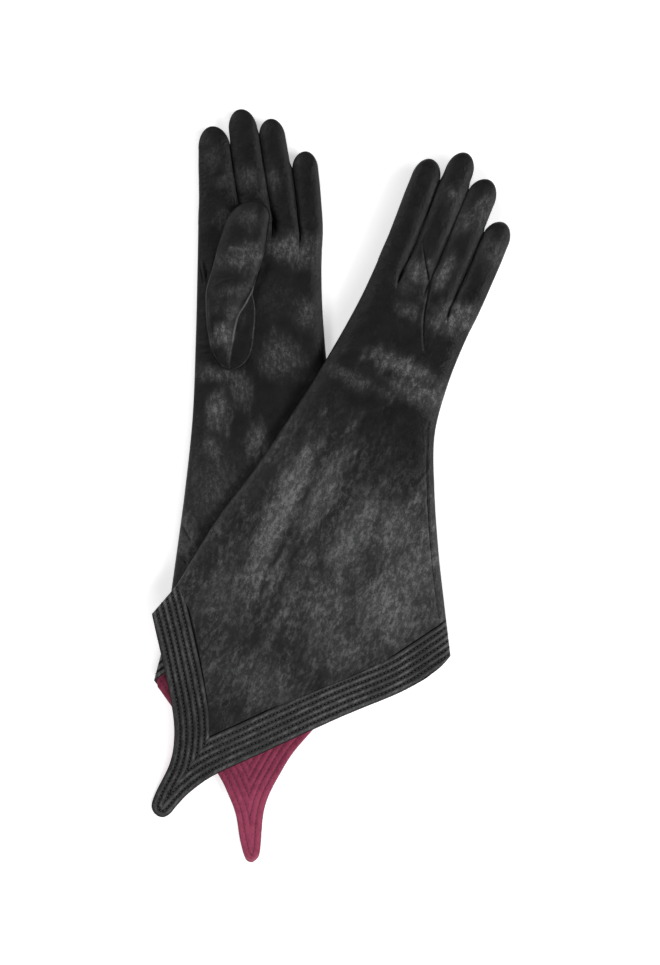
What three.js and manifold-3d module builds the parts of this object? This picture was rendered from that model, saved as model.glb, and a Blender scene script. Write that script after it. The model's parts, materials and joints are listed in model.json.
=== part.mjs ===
// A pair of long leather gauntlet gloves with pointed, quilted cuffs, laid flat.
// The left glove lies palm up on the ground. The right glove lies back up across its cuff.
// Both gloves are cut to one pattern. Each is drawn in a pattern frame of its own, in which
// u runs across the hand towards the little finger, v runs from the wrist to the fingertips,
// and w is the height above the palm side of the leather, so the back of the hand is at w = 9.

import * as THREE from 'three';
import { mergeVertices } from 'three/addons/utils/BufferGeometryUtils.js';
import Module from 'manifold-3d';

// Driving dimensions, in millimetres.
const LEATHER = 0.9;
const LINING = 0.4;
const GAP = 0.3;
const LINING_DEPTH = LEATHER + 0.5;
const THICKNESS = 9.0;
const HALF = THICKNESS / 2;
const FOLD_GAP = 0.4;
const FINGER_SQUARENESS = 3;

// Where the right glove lies, above the left glove's cuff and its own tucked thumb. Its fingers,
// its tail and the side of its cuff sink towards the ground. Each has the stretch it sinks over:
// the fingers along v, the tail past a slanting line, and the side past another, further down.
const STACK_HEIGHT = THICKNESS + GAP;
const FINGER_DROOP = { drop: 4.0, stretch: [115, 185] };
const TAIL_DROOP = { drop: 16.2, stretch: [-20, 45], from: [-20, -240], slant: 0.6 };
const SIDE_DROOP = { drop: 5.0, stretch: [5, 50], from: [48.4, -206], slant: 0.27, below: [50, 110] };

// Columns across a panel, as shares of its flat stretch. The tail's centre line is one of them.
const TAIL_SHARE = 0.34;
const FLAT_SHARES = [0, 0.14, 0.23, 0.29, TAIL_SHARE, 0.39, 0.45, 0.56, 0.7, 0.85, 1];
// A side seam lies a little to the back of its edge, so the palm panel rolls past the middle.
const SEAM_ROLL = 8;
const ROLL_ANGLES = { back: [SEAM_ROLL, 45, 90], palm: [-SEAM_ROLL, 45, 90] };
const ROLL_SHARE_FRONT = 0.146;
const ROLL_SHARE_CUFF = 0.0645;
const TAIL_AT = ROLL_SHARE_CUFF + (1 - 2 * ROLL_SHARE_CUFF) * TAIL_SHARE;
const PANEL_ROWS = 7;
const BAND_ROWS = 2;
const BAND_WIDTH = 24;

// The thumb's outline before its round tip: [v, u of its left edge, u of its right edge].
const THUMB_ROWS = [
  [14, -22.5, -17], [20, -30, -9.5], [32, -34, -4.8], [48, -36, -3.3], [64, -36, -5],
  [78, -32, -1.3], [92, -28.5, 3], [108, -23.5, 5.5],
];
const THUMB_TIP = [-4.6, 124];
const THUMB_PIVOT = [-20, 37];
const THUMB_HOLE = { across: 11, along: 18 };
const THUMB_UNDERSIDE_ROW = 4;

// The thumb's height grows from its seam in the palm, and its underside parts from the palm later.
const THUMB_SEAM_HEIGHT = 1.8;
const THUMB_HEIGHT_STRETCH = [14, 54];
const THUMB_UNDERSIDE_STRETCH = [50, 76];

// Each finger: centre of its fold line, tip, half widths there, and the sides with a gusset.
const LEFT_FINGERS = [
  { name: 'index', base: -28.2, tip: [-32.3, 173.6], half: [12.3, 10.2], gussets: ['little'] },
  { name: 'middle', base: -5.0, tip: [-13.9, 184.8], half: [10.1, 9.4], gussets: ['index', 'little'] },
  { name: 'ring', base: 14.7, tip: [5.9, 178.5], half: [8.8, 8.4], gussets: ['index', 'little'] },
  { name: 'little', base: 32.4, tip: [29.0, 157.1], half: [8.2, 7.9], gussets: ['index'] },
];
const RIGHT_FINGERS = [
  { name: 'index', base: -28.4, tip: [-31.8, 168.1], half: [9.1, 9.0], gussets: ['little'] },
  { name: 'middle', base: -9.9, tip: [-12.8, 181.1], half: [8.9, 9.2], gussets: ['index', 'little'] },
  { name: 'ring', base: 9.2, tip: [8.0, 171.0], half: [9.3, 9.3], gussets: ['index', 'little'] },
  { name: 'little', base: 28.4, tip: [28.2, 149.1], half: [8.8, 8.6], gussets: ['index'] },
];

// Outlines in the pattern frame. front gives the fold line as v = a + b u + c u^2.
const LEFT = {
  name: 'left', palmUp: true, wrist: [-47.2, 62.7], turn: 0, thumbTurn: 0,
  front: [127.5, -0.189, -0.0058], fingers: LEFT_FINGERS,
  leftEdge: [[-41, 125.5], [-41.8, 78], [-43, 30], [-45, -18], [-50, -66], [-56.3, -113], [-64, -167]],
  rightEdge: [[41, 110], [40, 75], [41.5, 40], [46, 5], [60, -30], [80, -66], [103, -101]],
  hemLeft: [[-70.6, -192.1], [-50, -221], [-29, -251.9], [-17.5, -278], [-12.4, -302], [-5.9, -311.5]],
  hemRight: [[-5.9, -311.5], [-0.6, -303], [2, -278], [19.5, -243.5], [33.7, -223], [62, -191],
    [92, -158], [110, -134], [116, -122]],
  innerLeft: [[-64, -167], [-51, -178], [-38.8, -194.5], [-24, -216.5], [-8, -240]],
  innerRight: [[-8, -240], [-0.2, -229.8], [14, -209.5], [44, -178], [70, -149], [90, -121], [103, -101]],
  palmHem: [[-70.6, -192.1], [-30, -166], [20, -143], [70, -130], [116, -122]],
  palmInner: [[-64, -167], [-28, -142], [22, -119], [66, -107.5], [103, -101]],
};
const RIGHT = {
  name: 'right', palmUp: false, wrist: [26.1, 47.5], turn: 24, thumbTurn: 18,
  front: [111, -0.2067, -0.00516], fingers: RIGHT_FINGERS,
  leftEdge: [
    [-37.6, 111.5], [-37.6, 68], [-41.5, 23], [-47.6, -20], [-55.5, -65], [-64.7, -106], [-71.1, -155.2],
  ],
  rightEdge: [[37.6, 96], [36.6, 65], [38, 35], [43.3, 3.4], [57, -28], [77, -66], [99.5, -104.3]],
  hemLeft: [[-78.4, -179.4], [-56.1, -209.2], [-38, -236], [-29.8, -258], [-28.4, -284], [-19.5, -299.6]],
  hemRight: [[-19.5, -299.6], [-14, -294], [-9.2, -277], [2.5, -258], [27.2, -230.4], [61.9, -191],
    [92.4, -159], [107, -138], [112, -125]],
  innerLeft: [[-71.1, -155.2], [-52.7, -171.1], [-36, -195], [-19.1, -220.7], [-11.6, -237.5]],
  innerRight: [[-11.6, -237.5], [9.9, -212.3], [38.6, -183.7], [67, -153.7], [86.5, -124.8], [99.5, -104.3]],
  palmHem: [[-78.4, -179.4], [-36, -158], [14, -140], [66, -129], [112, -125]],
  palmInner: [[-71.1, -155.2], [-34, -134.5], [15, -117], [62, -107.5], [99.5, -104.3]],
};

const MATERIALS = {
  leather: new THREE.MeshStandardMaterial({ color: 0x1c1c1d, roughness: 0.42, metalness: 0 }),
  lining: new THREE.MeshStandardMaterial({ color: 0x8b3a52, roughness: 0.95, metalness: 0 }),
};

const wasm = await Module();
wasm.setup();

const group = new THREE.Group();
const radians = THREE.MathUtils.degToRad;
const mix = THREE.MathUtils.lerp;

/** 0 before a stretch, 1 after it, and a smooth rise along it. */
function ramp(value, [start, end]) {
  return THREE.MathUtils.smoothstep(value, start, end);
}

/** A smooth curve through pattern points. */
function curveThrough(points) {
  return new THREE.SplineCurve(points.map(([u, v]) => new THREE.Vector2(u, v)));
}

/** How far the right glove sinks below its stack height at a pattern point. */
function droopAt(u, v) {
  const [tailU, tailV] = TAIL_DROOP.from;
  const [sideU, sideV] = SIDE_DROOP.from;
  const pastTail = (tailV - v - TAIL_DROOP.slant * (u - tailU)) / Math.hypot(1, TAIL_DROOP.slant);
  const pastSide = u - sideU - SIDE_DROOP.slant * (v - sideV);
  const fingers = FINGER_DROOP.drop * ramp(v, FINGER_DROOP.stretch);
  const tail = TAIL_DROOP.drop * ramp(pastTail, TAIL_DROOP.stretch);
  const side = SIDE_DROOP.drop * ramp(pastSide, SIDE_DROOP.stretch) * ramp(-v, SIDE_DROOP.below);
  return fingers + tail + side;
}

/** The place in the row frame of a pattern point at height w. */
function placed(glove, u, v, w) {
  const turn = radians(glove.turn);
  const x = glove.wrist[0] + u * Math.cos(turn) + v * Math.sin(turn);
  const y = glove.wrist[1] - u * Math.sin(turn) + v * Math.cos(turn);
  const z = glove.palmUp ? THICKNESS - w : STACK_HEIGHT + w - droopAt(u, v);
  return [x, y, z];
}

/** Turns every face outwards, if the surface holds a negative volume. */
function facingOut(positions, faces) {
  const corner = (i) => new THREE.Vector3(...positions.slice(3 * i, 3 * i + 3));
  let volume = 0;
  for (let f = 0; f < faces.length; f += 3) {
    const [a, b, c] = [corner(faces[f]), corner(faces[f + 1]), corner(faces[f + 2])];
    volume += a.dot(b.cross(c));
  }
  if (volume < 0) faces.reverse();
  const geometry = new THREE.BufferGeometry();
  geometry.setAttribute('position', new THREE.Float32BufferAttribute(positions, 3));
  geometry.setIndex(faces);
  return geometry;
}

/** A closed sheet of material. pointAt(row, column, side) gives its two faces, side 0 and side 1.
    A sheet that wraps joins its last column to its first. */
function sheet(rowCount, columnCount, wraps, pointAt) {
  const columns = wraps ? columnCount : columnCount + 1;
  const positions = [];
  for (const side of [0, 1]) {
    for (let i = 0; i <= rowCount; i += 1) {
      for (let j = 0; j < columns; j += 1) positions.push(...pointAt(i, j, side));
    }
  }
  const at = (i, j, side) => (side * (rowCount + 1) + i) * columns + (j % columns);
  const faces = [];
  const quad = (a, b, c, d) => faces.push(a, b, c, a, c, d);
  for (let i = 0; i < rowCount; i += 1) {
    for (let j = 0; j < columnCount; j += 1) {
      quad(at(i, j, 0), at(i, j + 1, 0), at(i + 1, j + 1, 0), at(i + 1, j, 0));
      quad(at(i, j, 1), at(i + 1, j, 1), at(i + 1, j + 1, 1), at(i, j + 1, 1));
    }
  }
  for (let j = 0; j < columnCount; j += 1) {
    quad(at(0, j, 0), at(0, j, 1), at(0, j + 1, 1), at(0, j + 1, 0));
    quad(at(rowCount, j, 0), at(rowCount, j + 1, 0), at(rowCount, j + 1, 1), at(rowCount, j, 1));
  }
  for (let i = 0; i < rowCount && !wraps; i += 1) {
    quad(at(i, 0, 0), at(i + 1, 0, 0), at(i + 1, 0, 1), at(i, 0, 1));
    quad(at(i, columnCount, 0), at(i, columnCount, 1), at(i + 1, columnCount, 1), at(i + 1, columnCount, 0));
  }
  return facingOut(positions, faces);
}

function addPiece(name, material, geometry) {
  const mesh = new THREE.Mesh(geometry, MATERIALS[material]);
  mesh.name = name;
  group.add(mesh);
}

// ---- The hand and cuff ----

/** The surfaces of one glove's hand and cuff: where share s across and row t along lie. */
function handSurface(glove) {
  const leftEdge = curveThrough(glove.leftEdge);
  const rightEdge = curveThrough(glove.rightEdge);
  const [hemLeft, hemRight] = [curveThrough(glove.hemLeft), curveThrough(glove.hemRight)];
  const [innerLeft, innerRight] = [curveThrough(glove.innerLeft), curveThrough(glove.innerRight)];
  const [palmHem, palmInner] = [curveThrough(glove.palmHem), curveThrough(glove.palmInner)];

  const twoPart = (left, right, s) => (
    s < TAIL_AT ? left.getPointAt(s / TAIL_AT) : right.getPointAt((s - TAIL_AT) / (1 - TAIL_AT))
  );
  const inner = (side, s) => (side === 'back' ? twoPart(innerLeft, innerRight, s) : palmInner.getPointAt(s));
  const hem = (side, s) => (side === 'back' ? twoPart(hemLeft, hemRight, s) : palmHem.getPointAt(s));

  const front = (s) => {
    const u = mix(glove.leftEdge[0][0], glove.rightEdge[0][0], s);
    const [a, b, c] = glove.front;
    return new THREE.Vector2(u, a + b * u + c * u * u);
  };

  /** t from 0, the fold line, to 1, the band's inner row, is filled from its four edges.
      t from 1 to 2 runs straight across the band. */
  const pointOn = (side, s, t) => {
    if (t > 1) return inner(side, s).lerp(hem(side, s), t - 1);
    const along = front(s).lerp(inner(side, s), t);
    const across = leftEdge.getPoint(t).lerp(rightEdge.getPoint(t), s);
    const nearCorners = front(0).lerp(front(1), s);
    const farCorners = inner(side, 0).lerp(inner(side, 1), s);
    return along.add(across).sub(nearCorners.lerp(farCorners, t));
  };

  const widthAt = (t) => {
    const start = t > 1 ? hem('back', 0) : leftEdge.getPoint(t);
    const end = t > 1 ? hem('back', 1) : rightEdge.getPoint(t);
    return start.distanceTo(end);
  };

  /** The point of one panel at a column, at a depth below its outer face. */
  const pointAt = (side, column, t, depth) => {
    const width = widthAt(t);
    const roll = mix(ROLL_SHARE_FRONT, ROLL_SHARE_CUFF, Math.min(t, 1));
    const { share, rise } = columnPlace(side, column, roll, depth, width);
    const { x: u, y: v } = pointOn(side, share, t);
    const height = (HALF - depth) * rise;
    return placed(glove, u, v, side === 'back' ? HALF + height : HALF - height);
  };
  return pointAt;
}

/** Columns run round one rolled edge, across the flat stretch and round the other rolled edge. */
const ROLL_STEPS = ROLL_ANGLES.back.length - 1;
const PANEL_COLUMNS = 2 * ROLL_STEPS + FLAT_SHARES.length - 1;

function columnPlace(side, column, roll, depth, width) {
  const fromEnd = Math.min(column, PANEL_COLUMNS - column);
  if (fromEnd >= ROLL_STEPS) {
    return { share: mix(roll, 1 - roll, FLAT_SHARES[column - ROLL_STEPS]), rise: 1 };
  }
  const angle = radians(ROLL_ANGLES[side][fromEnd]);
  const inset = Math.max(0, roll - (roll - depth / width) * Math.cos(angle));
  return { share: column < PANEL_COLUMNS / 2 ? inset : 1 - inset, rise: Math.sin(angle) };
}

/** A panel, from row start to row end. At its side seams it keeps half the clearance from the
    other panel, which lies above or below it. */
function panel(glove, side, start, end, rows) {
  const pointAt = handSurface(glove);
  const liesAbove = (side === 'back') !== glove.palmUp;
  const away = liesAbove ? GAP / 2 : -GAP / 2;
  return sheet(rows, PANEL_COLUMNS, false, (i, j, face) => {
    const [x, y, z] = pointAt(side, j, mix(start, end, i / rows), face * LEATHER);
    const atSeam = j === 0 || j === PANEL_COLUMNS;
    return [x, y, atSeam ? z + away : z];
  });
}

/** The hand's lining is one sleeve: the back panel's columns, then the palm panel's. */
function handLining(glove) {
  const pointAt = handSurface(glove);
  const rows = PANEL_ROWS + BAND_ROWS;
  return sheet(rows, 2 * PANEL_COLUMNS, true, (i, j, face) => {
    const t = i <= PANEL_ROWS ? i / PANEL_ROWS : 1 + (i - PANEL_ROWS) / BAND_ROWS;
    const onBack = j < PANEL_COLUMNS;
    const column = onBack ? j : 2 * PANEL_COLUMNS - j;
    return pointAt(onBack ? 'back' : 'palm', column, t, LINING_DEPTH + face * LINING);
  });
}

/** A closed surface as a solid that can be cut. */
function asSolid(geometry) {
  const bare = geometry.clone();
  bare.deleteAttribute('normal');
  bare.deleteAttribute('uv');
  const merged = mergeVertices(bare, 1e-4);
  return new wasm.Manifold(new wasm.Mesh({
    numProp: 3,
    vertProperties: new Float32Array(merged.attributes.position.array),
    triVerts: new Uint32Array(merged.index.array),
  }));
}

function asGeometry(solid) {
  const mesh = solid.getMesh();
  const geometry = new THREE.BufferGeometry();
  geometry.setAttribute('position', new THREE.BufferAttribute(mesh.vertProperties, 3));
  geometry.setIndex(new THREE.BufferAttribute(mesh.triVerts, 1));
  return geometry;
}

/** The oval hole in the palm that the thumb opens into, cut through leather and lining. */
function withThumbHole(glove, geometry) {
  const oval = new THREE.Shape();
  oval.absellipse(0, 0, THUMB_HOLE.across, THUMB_HOLE.along, 0, 2 * Math.PI);
  const depth = HALF;
  const plug = new THREE.ExtrudeGeometry(oval, { depth, bevelEnabled: false, curveSegments: 10 });
  plug.rotateZ(-radians(glove.turn));
  const [x, y, z] = placed(glove, ...THUMB_PIVOT, 0);
  plug.translate(x, y, glove.palmUp ? z - depth + 1 : z - 1);
  return asGeometry(asSolid(geometry).subtract(asSolid(plug)));
}

function addHand(glove) {
  const bandStart = 1 + GAP / BAND_WIDTH;
  const palm = panel(glove, 'palm', 0, 1, PANEL_ROWS);
  addPiece(`${glove.name}_back_panel`, 'leather', panel(glove, 'back', 0, 1, PANEL_ROWS));
  addPiece(`${glove.name}_palm_panel`, 'leather', withThumbHole(glove, palm));
  addPiece(`${glove.name}_back_band`, 'leather', panel(glove, 'back', bandStart, 2, BAND_ROWS));
  addPiece(`${glove.name}_palm_band`, 'leather', panel(glove, 'palm', bandStart, 2, BAND_ROWS));
  addPiece(`${glove.name}_hand_lining`, 'lining', withThumbHole(glove, handLining(glove)));
}

// ---- Finger and thumb stalls ----

const SEAM_TRIM = 0.03;
const SEAM_ANGLE = { base: 30, end: 14, past: 3.5 };
const GUSSET_ROWS = 2;
const STRAIGHT_SHARES = [0, 0.4, 0.8, 1];
const CAP_ANGLES = [48, 76];
const FACE_STEPS = 4;
const HALF_RING = FACE_STEPS + 2;
const RING = 2 * HALF_RING;
const LEATHER_DEPTHS = [0, LEATHER];
const LINING_DEPTHS = [LINING_DEPTH, LINING_DEPTH + LINING];
const CAP_FULLNESS = 0.8;

/** The rounded section of a stall, at an angle from the little finger's side, with its back at 90. */
function section(angle) {
  const power = 2 / FINGER_SQUARENESS;
  const round = (value) => Math.sign(value) * Math.abs(value) ** power;
  return [round(Math.cos(angle)), round(Math.sin(angle))];
}

/** The angle of one knot of a stall's ring: 0 is the little finger's side, 1 to 5 are the back,
    6 is the index side, 7 to 11 are the palm side, and 12 closes the ring. */
function ringAngle(knot, seam) {
  const halfTurns = Math.floor(knot / HALF_RING);
  const onHalf = knot - halfTurns * HALF_RING;
  const turned = onHalf === 0 ? 0 : mix(seam, Math.PI - seam, (onHalf - 1) / FACE_STEPS);
  return halfTurns * Math.PI + turned;
}

/** A finger's rows: a straight stretch from the fold line, then the elliptical rings of its tip. */
function fingerPoint(glove, finger) {
  const [a, b, c] = glove.front;
  const frontAt = (u) => a + b * u + c * u * u + FOLD_GAP;
  const [halfBase, halfTip] = finger.half;
  const start = new THREE.Vector2(finger.base, frontAt(finger.base));
  const tip = new THREE.Vector2(...finger.tip);
  const ahead = tip.clone().sub(start).normalize();
  const across = new THREE.Vector2(ahead.y, -ahead.x);
  const capStart = tip.clone().addScaledVector(ahead, -halfTip);
  return (row, angle, depth) => {
    const [x, z] = section(angle);
    const capAngle = row < STRAIGHT_SHARES.length ? 0 : radians(CAP_ANGLES[row - STRAIGHT_SHARES.length]);
    const shrink = Math.cos(capAngle);
    const place = capStart.clone().addScaledVector(ahead, (halfTip - depth) * Math.sin(capAngle));
    place.addScaledVector(across, x * (halfTip - depth) * shrink);
    if (row < STRAIGHT_SHARES.length) {
      const u = finger.base + x * (halfBase - depth);
      place.lerp(new THREE.Vector2(u, frontAt(u)), 1 - STRAIGHT_SHARES[row]);
    }
    return placed(glove, place.x, place.y, HALF + z * (HALF - depth) * shrink ** CAP_FULLNESS);
  };
}

/** One strip of a stall between two knots of its ring, or a sleeve all round it. */
function strip(pointAt, seamOf, rows, firstKnot, lastKnot, depths) {
  const columns = lastKnot - firstKnot;
  const wraps = columns === RING;
  return sheet(rows[1] - rows[0], columns, wraps, (i, j, face) => {
    const row = rows[0] + i;
    const seam = seamOf(row);
    let angle = ringAngle(firstKnot + j, seam);
    if (!wraps && j === 0) angle += SEAM_TRIM;
    if (!wraps && j === columns) angle -= SEAM_TRIM;
    return pointAt(row, angle, depths[face]);
  });
}

function addFinger(glove, finger) {
  const label = `${glove.name}_${finger.name}`;
  const pointAt = fingerPoint(glove, finger);
  const lastRow = STRAIGHT_SHARES.length - 1 + CAP_ANGLES.length;
  const seamOf = (row) => radians(row > GUSSET_ROWS
    ? SEAM_ANGLE.past
    : mix(SEAM_ANGLE.base, SEAM_ANGLE.end, row / GUSSET_ROWS));
  const [atLittle, atIndex] = [finger.gussets.includes('little'), finger.gussets.includes('index')];
  const rows = [0, lastRow];
  const edgesOf = (first, last) => [first + (atLittle ? 1 : 0), last - (atIndex ? 1 : 0)];
  const back = edgesOf(0, HALF_RING);
  const palm = [HALF_RING + (atIndex ? 1 : 0), RING - (atLittle ? 1 : 0)];
  addPiece(`${label}_back`, 'leather', strip(pointAt, seamOf, rows, ...back, LEATHER_DEPTHS));
  addPiece(`${label}_palm`, 'leather', strip(pointAt, seamOf, rows, ...palm, LEATHER_DEPTHS));
  if (atIndex) {
    addPiece(`${label}_fourchette_index_side`, 'leather',
      strip(pointAt, seamOf, [0, GUSSET_ROWS], 5, 7, LEATHER_DEPTHS));
  }
  if (atLittle) {
    addPiece(`${label}_fourchette_little_side`, 'leather',
      strip(pointAt, seamOf, [0, GUSSET_ROWS], -1, 1, LEATHER_DEPTHS));
  }
  addPiece(`${label}_lining`, 'lining',
    strip(pointAt, seamOf, rows, 0, RING, LINING_DEPTHS));
}

/** The thumb's rings. Its outer half rises as a dome from the palm seam, and its underside
    starts further up, where the thumb leaves the palm. */
function thumbPoint(glove) {
  const turn = radians(glove.thumbTurn);
  const turned = (u, v) => {
    const [du, dv] = [u - THUMB_PIVOT[0], v - THUMB_PIVOT[1]];
    return [
      THUMB_PIVOT[0] + du * Math.cos(turn) + dv * Math.sin(turn),
      THUMB_PIVOT[1] - du * Math.sin(turn) + dv * Math.cos(turn),
    ];
  };
  const last = THUMB_ROWS.length - 1;
  const [capV, capLeft, capRight] = THUMB_ROWS[last];
  const capCentre = new THREE.Vector2((capLeft + capRight) / 2, capV);
  const ahead = new THREE.Vector2(...THUMB_TIP).sub(capCentre);
  const capLength = ahead.length();
  ahead.normalize();
  return (row, angle, depth) => {
    const [x, z] = section(angle);
    const capAngle = row <= last ? 0 : radians(CAP_ANGLES[row - last - 1]);
    const [v, left, right] = THUMB_ROWS[Math.min(row, last)];
    const shrink = Math.cos(capAngle);
    const centre = new THREE.Vector2((left + right) / 2, v);
    centre.addScaledVector(ahead, (capLength - depth) * Math.sin(capAngle));
    const u = centre.x + x * ((right - left) / 2 - depth) * shrink;
    const full = mix(THUMB_SEAM_HEIGHT, THICKNESS, ramp(v, THUMB_HEIGHT_STRETCH));
    const under = HALF * ramp(v, THUMB_UNDERSIDE_STRETCH);
    const seamHeight = -GAP - under;
    const height = z > 0 ? Math.max(under - depth, 0) : full - under - depth;
    return placed(glove, ...turned(u, centre.y), seamHeight + z * height * shrink ** CAP_FULLNESS);
  };
}

function addThumb(glove) {
  const pointAt = thumbPoint(glove);
  const lastRow = THUMB_ROWS.length - 1 + CAP_ANGLES.length;
  const seamOf = () => radians(SEAM_ANGLE.end);
  addPiece(`${glove.name}_thumb_outer`, 'leather',
    strip(pointAt, seamOf, [0, lastRow], HALF_RING, RING, LEATHER_DEPTHS));
  addPiece(`${glove.name}_thumb_inner`, 'leather',
    strip(pointAt, seamOf, [THUMB_UNDERSIDE_ROW, lastRow], 0, HALF_RING, LEATHER_DEPTHS));
  addPiece(`${glove.name}_thumb_lining`, 'lining',
    strip(pointAt, seamOf, [THUMB_UNDERSIDE_ROW, lastRow], 0, RING, LINING_DEPTHS));
}

for (const glove of [LEFT, RIGHT]) {
  addHand(glove);
  addThumb(glove);
  glove.fingers.forEach((finger) => addFinger(glove, finger));
}

export default group;
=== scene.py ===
"""A pair of long leather gauntlet gloves laid flat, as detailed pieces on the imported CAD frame.

Each glove is drawn in a pattern frame of its own: u runs across the hand towards the little
finger, v from the wrist to the fingertips, and w up from the palm side of the leather.
Every piece of leather or lining is a closed sheet with an outer and an inner face.
"""

import json
import math

import bpy
import numpy as np
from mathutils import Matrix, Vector


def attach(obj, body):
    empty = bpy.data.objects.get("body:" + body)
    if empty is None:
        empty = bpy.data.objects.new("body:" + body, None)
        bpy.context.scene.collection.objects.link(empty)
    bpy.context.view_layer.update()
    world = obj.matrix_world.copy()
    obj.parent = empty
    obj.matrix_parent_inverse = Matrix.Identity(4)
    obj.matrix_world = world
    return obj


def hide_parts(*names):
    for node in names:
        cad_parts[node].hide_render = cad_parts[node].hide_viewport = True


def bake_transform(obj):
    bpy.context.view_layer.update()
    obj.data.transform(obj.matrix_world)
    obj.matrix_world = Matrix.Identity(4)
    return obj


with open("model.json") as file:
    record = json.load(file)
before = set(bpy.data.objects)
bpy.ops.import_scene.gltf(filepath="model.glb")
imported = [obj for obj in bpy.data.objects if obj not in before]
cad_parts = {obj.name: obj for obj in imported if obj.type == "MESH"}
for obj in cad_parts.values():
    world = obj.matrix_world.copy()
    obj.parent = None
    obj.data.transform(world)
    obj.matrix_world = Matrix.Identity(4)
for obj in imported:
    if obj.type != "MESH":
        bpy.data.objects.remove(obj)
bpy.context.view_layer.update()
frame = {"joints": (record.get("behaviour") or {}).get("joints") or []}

# ---- Driving dimensions: names with MM are in metres, outlines and tables in millimetres ----

MM = 0.001

# Leather, lining and the heights that the gloves lie at.
LEATHER = 0.9 * MM
LINING = 0.4 * MM
LINING_DEPTH = 1.4 * MM
LINING_DEPTHS = (LINING_DEPTH, LINING_DEPTH + LINING)
THICKNESS = 9.0 * MM
HALF = THICKNESS / 2
STACK_HEIGHT = 9.3 * MM
EDGE_ROLL = 12 * MM
ROLLED_COLUMNS = 0.11
TAIL_SHARE = 0.3606

# Between the fingers' roots and the cuff, the section changes over these lengths.
WEB_SPREAD = 60 * MM
WEB_FLATTEN = 15 * MM
CUFF_ROLL = 55 * MM

# Finger stalls. Shares run from 0 at the web to 1 at the cap, and angles are in degrees.
SQUARENESS = 2.6
FINGER_SWELL = 0.3 * MM
SWELL_START = (0, 0.3)
SWELL_END = (0.8, 1)
CAP_LENGTH = 1.5
CAP_FLATNESS = 0.8
CAP_START = 4
CAP_POLE = 89.4
SEAM_DIP = 0.22 * MM
SEAM_DIP_WIDTH = 0.05
SEAM_DIP_START = (0.03, 0.12)
FOLD_SHARE = 0.5
GUSSET_ANGLES = (30, 13)
GUSSET_NARROWED = 0.8
GUSSET_END = (0.72, 0.86)
GUSSET_DEPTH = 0.05 * MM
GUSSET_OVERLAP = 0.15 * MM
GUSSET_BULGE_HEIGHT = 0.55
WIDEST_GUSSET = 4 * MM
BULGE_START = (0.02, 0.15)
SLIT_END = 0.7
SLIT_CLOSING = (5 * MM, 2 * MM)

# How the right glove sinks: drop, the stretch it sinks over, and the line that it starts from.
FINGER_DROOP = {"drop": 4.0, "stretch": (115, 185)}
TAIL_DROOP = {"drop": 16.2, "stretch": (-20, 45), "start": (-20, -240), "slant": 0.6}
SIDE_DROOP = {"drop": 5.0, "stretch": (5, 50), "start": (48.4, -206), "slant": 0.27, "below": (50, 110)}

# The quilting: six raised channels between the band's seam and the hem, and the stitches between.
CHANNELS = 6
BAND_WIDTH = 24 * MM
GUIDE_OVERRUN = 45 * MM
CHANNEL_RISE = 1.0 * MM
CHANNEL_ROUNDNESS = 1.9
HIDDEN_RISE = 0.35
GROOVE_DEPTH = 0.35 * MM
UNEVEN_RISE = 0.14
UNEVEN_LENGTH = 38 * MM
UNEVEN_SEED = 43
CHANNEL_STEP = 40 * MM
BAND_END = 0.975
LINING_SIDE = 2.2 * MM
LINING_CHANNEL_RISE = 0.5 * MM
LINING_QUILT_FADE = (0.3, 0.9)
LINING_START = 0.09
LINING_END = 0.96
RIM_ROWS = 3
STITCH_PITCH = 2.7 * MM
STITCH_LENGTH = 1.9 * MM
STITCH_RADIUS = 0.2 * MM
STITCH_LIFT = 0.14 * MM
STITCH_REACH = 0.8 * MM
CORNER_SHARE = 0.985
SHORTEST_ROW = 4
CAPSULE_SIDES = 6
CAPSULE_RINGS = ((-0.5, 0.25), (-0.32, 1.0), (0.32, 1.0), (0.5, 0.25))

# Grid steps: columns round half a finger, rows along the pieces, and columns along the hems.
FINGER_COLUMNS = 48
HIDDEN_FINGER_COLUMNS = 30
HAND_ROWS = 250
HIDDEN_HAND_ROWS = 140
FINGER_ROWS = 130
CAP_ROWS = 22
GUSSET_COLUMNS = 14
GUSSET_ROWS = slice(5, 109)
LINING_SIDES = 60
FINGER_LINING_ROWS = slice(0, FINGER_ROWS + CAP_ROWS - 1, 3)
BAND_ROWS = 85
BAND_COLUMNS = 460
LINING_ROWS = 90
LINING_COLUMNS = 340
THUMB_COLUMNS = 160
THUMB_LENGTH_ROWS = 150
OVAL_ROWS = 40
THUMB_LINING_ROWS = slice(4, -2, 3)

# How finely curves are sampled, and the sizes that count as nothing.
CURVE_SAMPLES = 600
EDGE_SAMPLES = 500
HEM_SAMPLES = 80
SLIT_SAMPLES = 60
STITCH_SAMPLES = 700
NOISE_TABLE = 512
SHARP_ANGLE = math.radians(62)
TINY = 1e-9
NO_AREA = 1e-12

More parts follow.
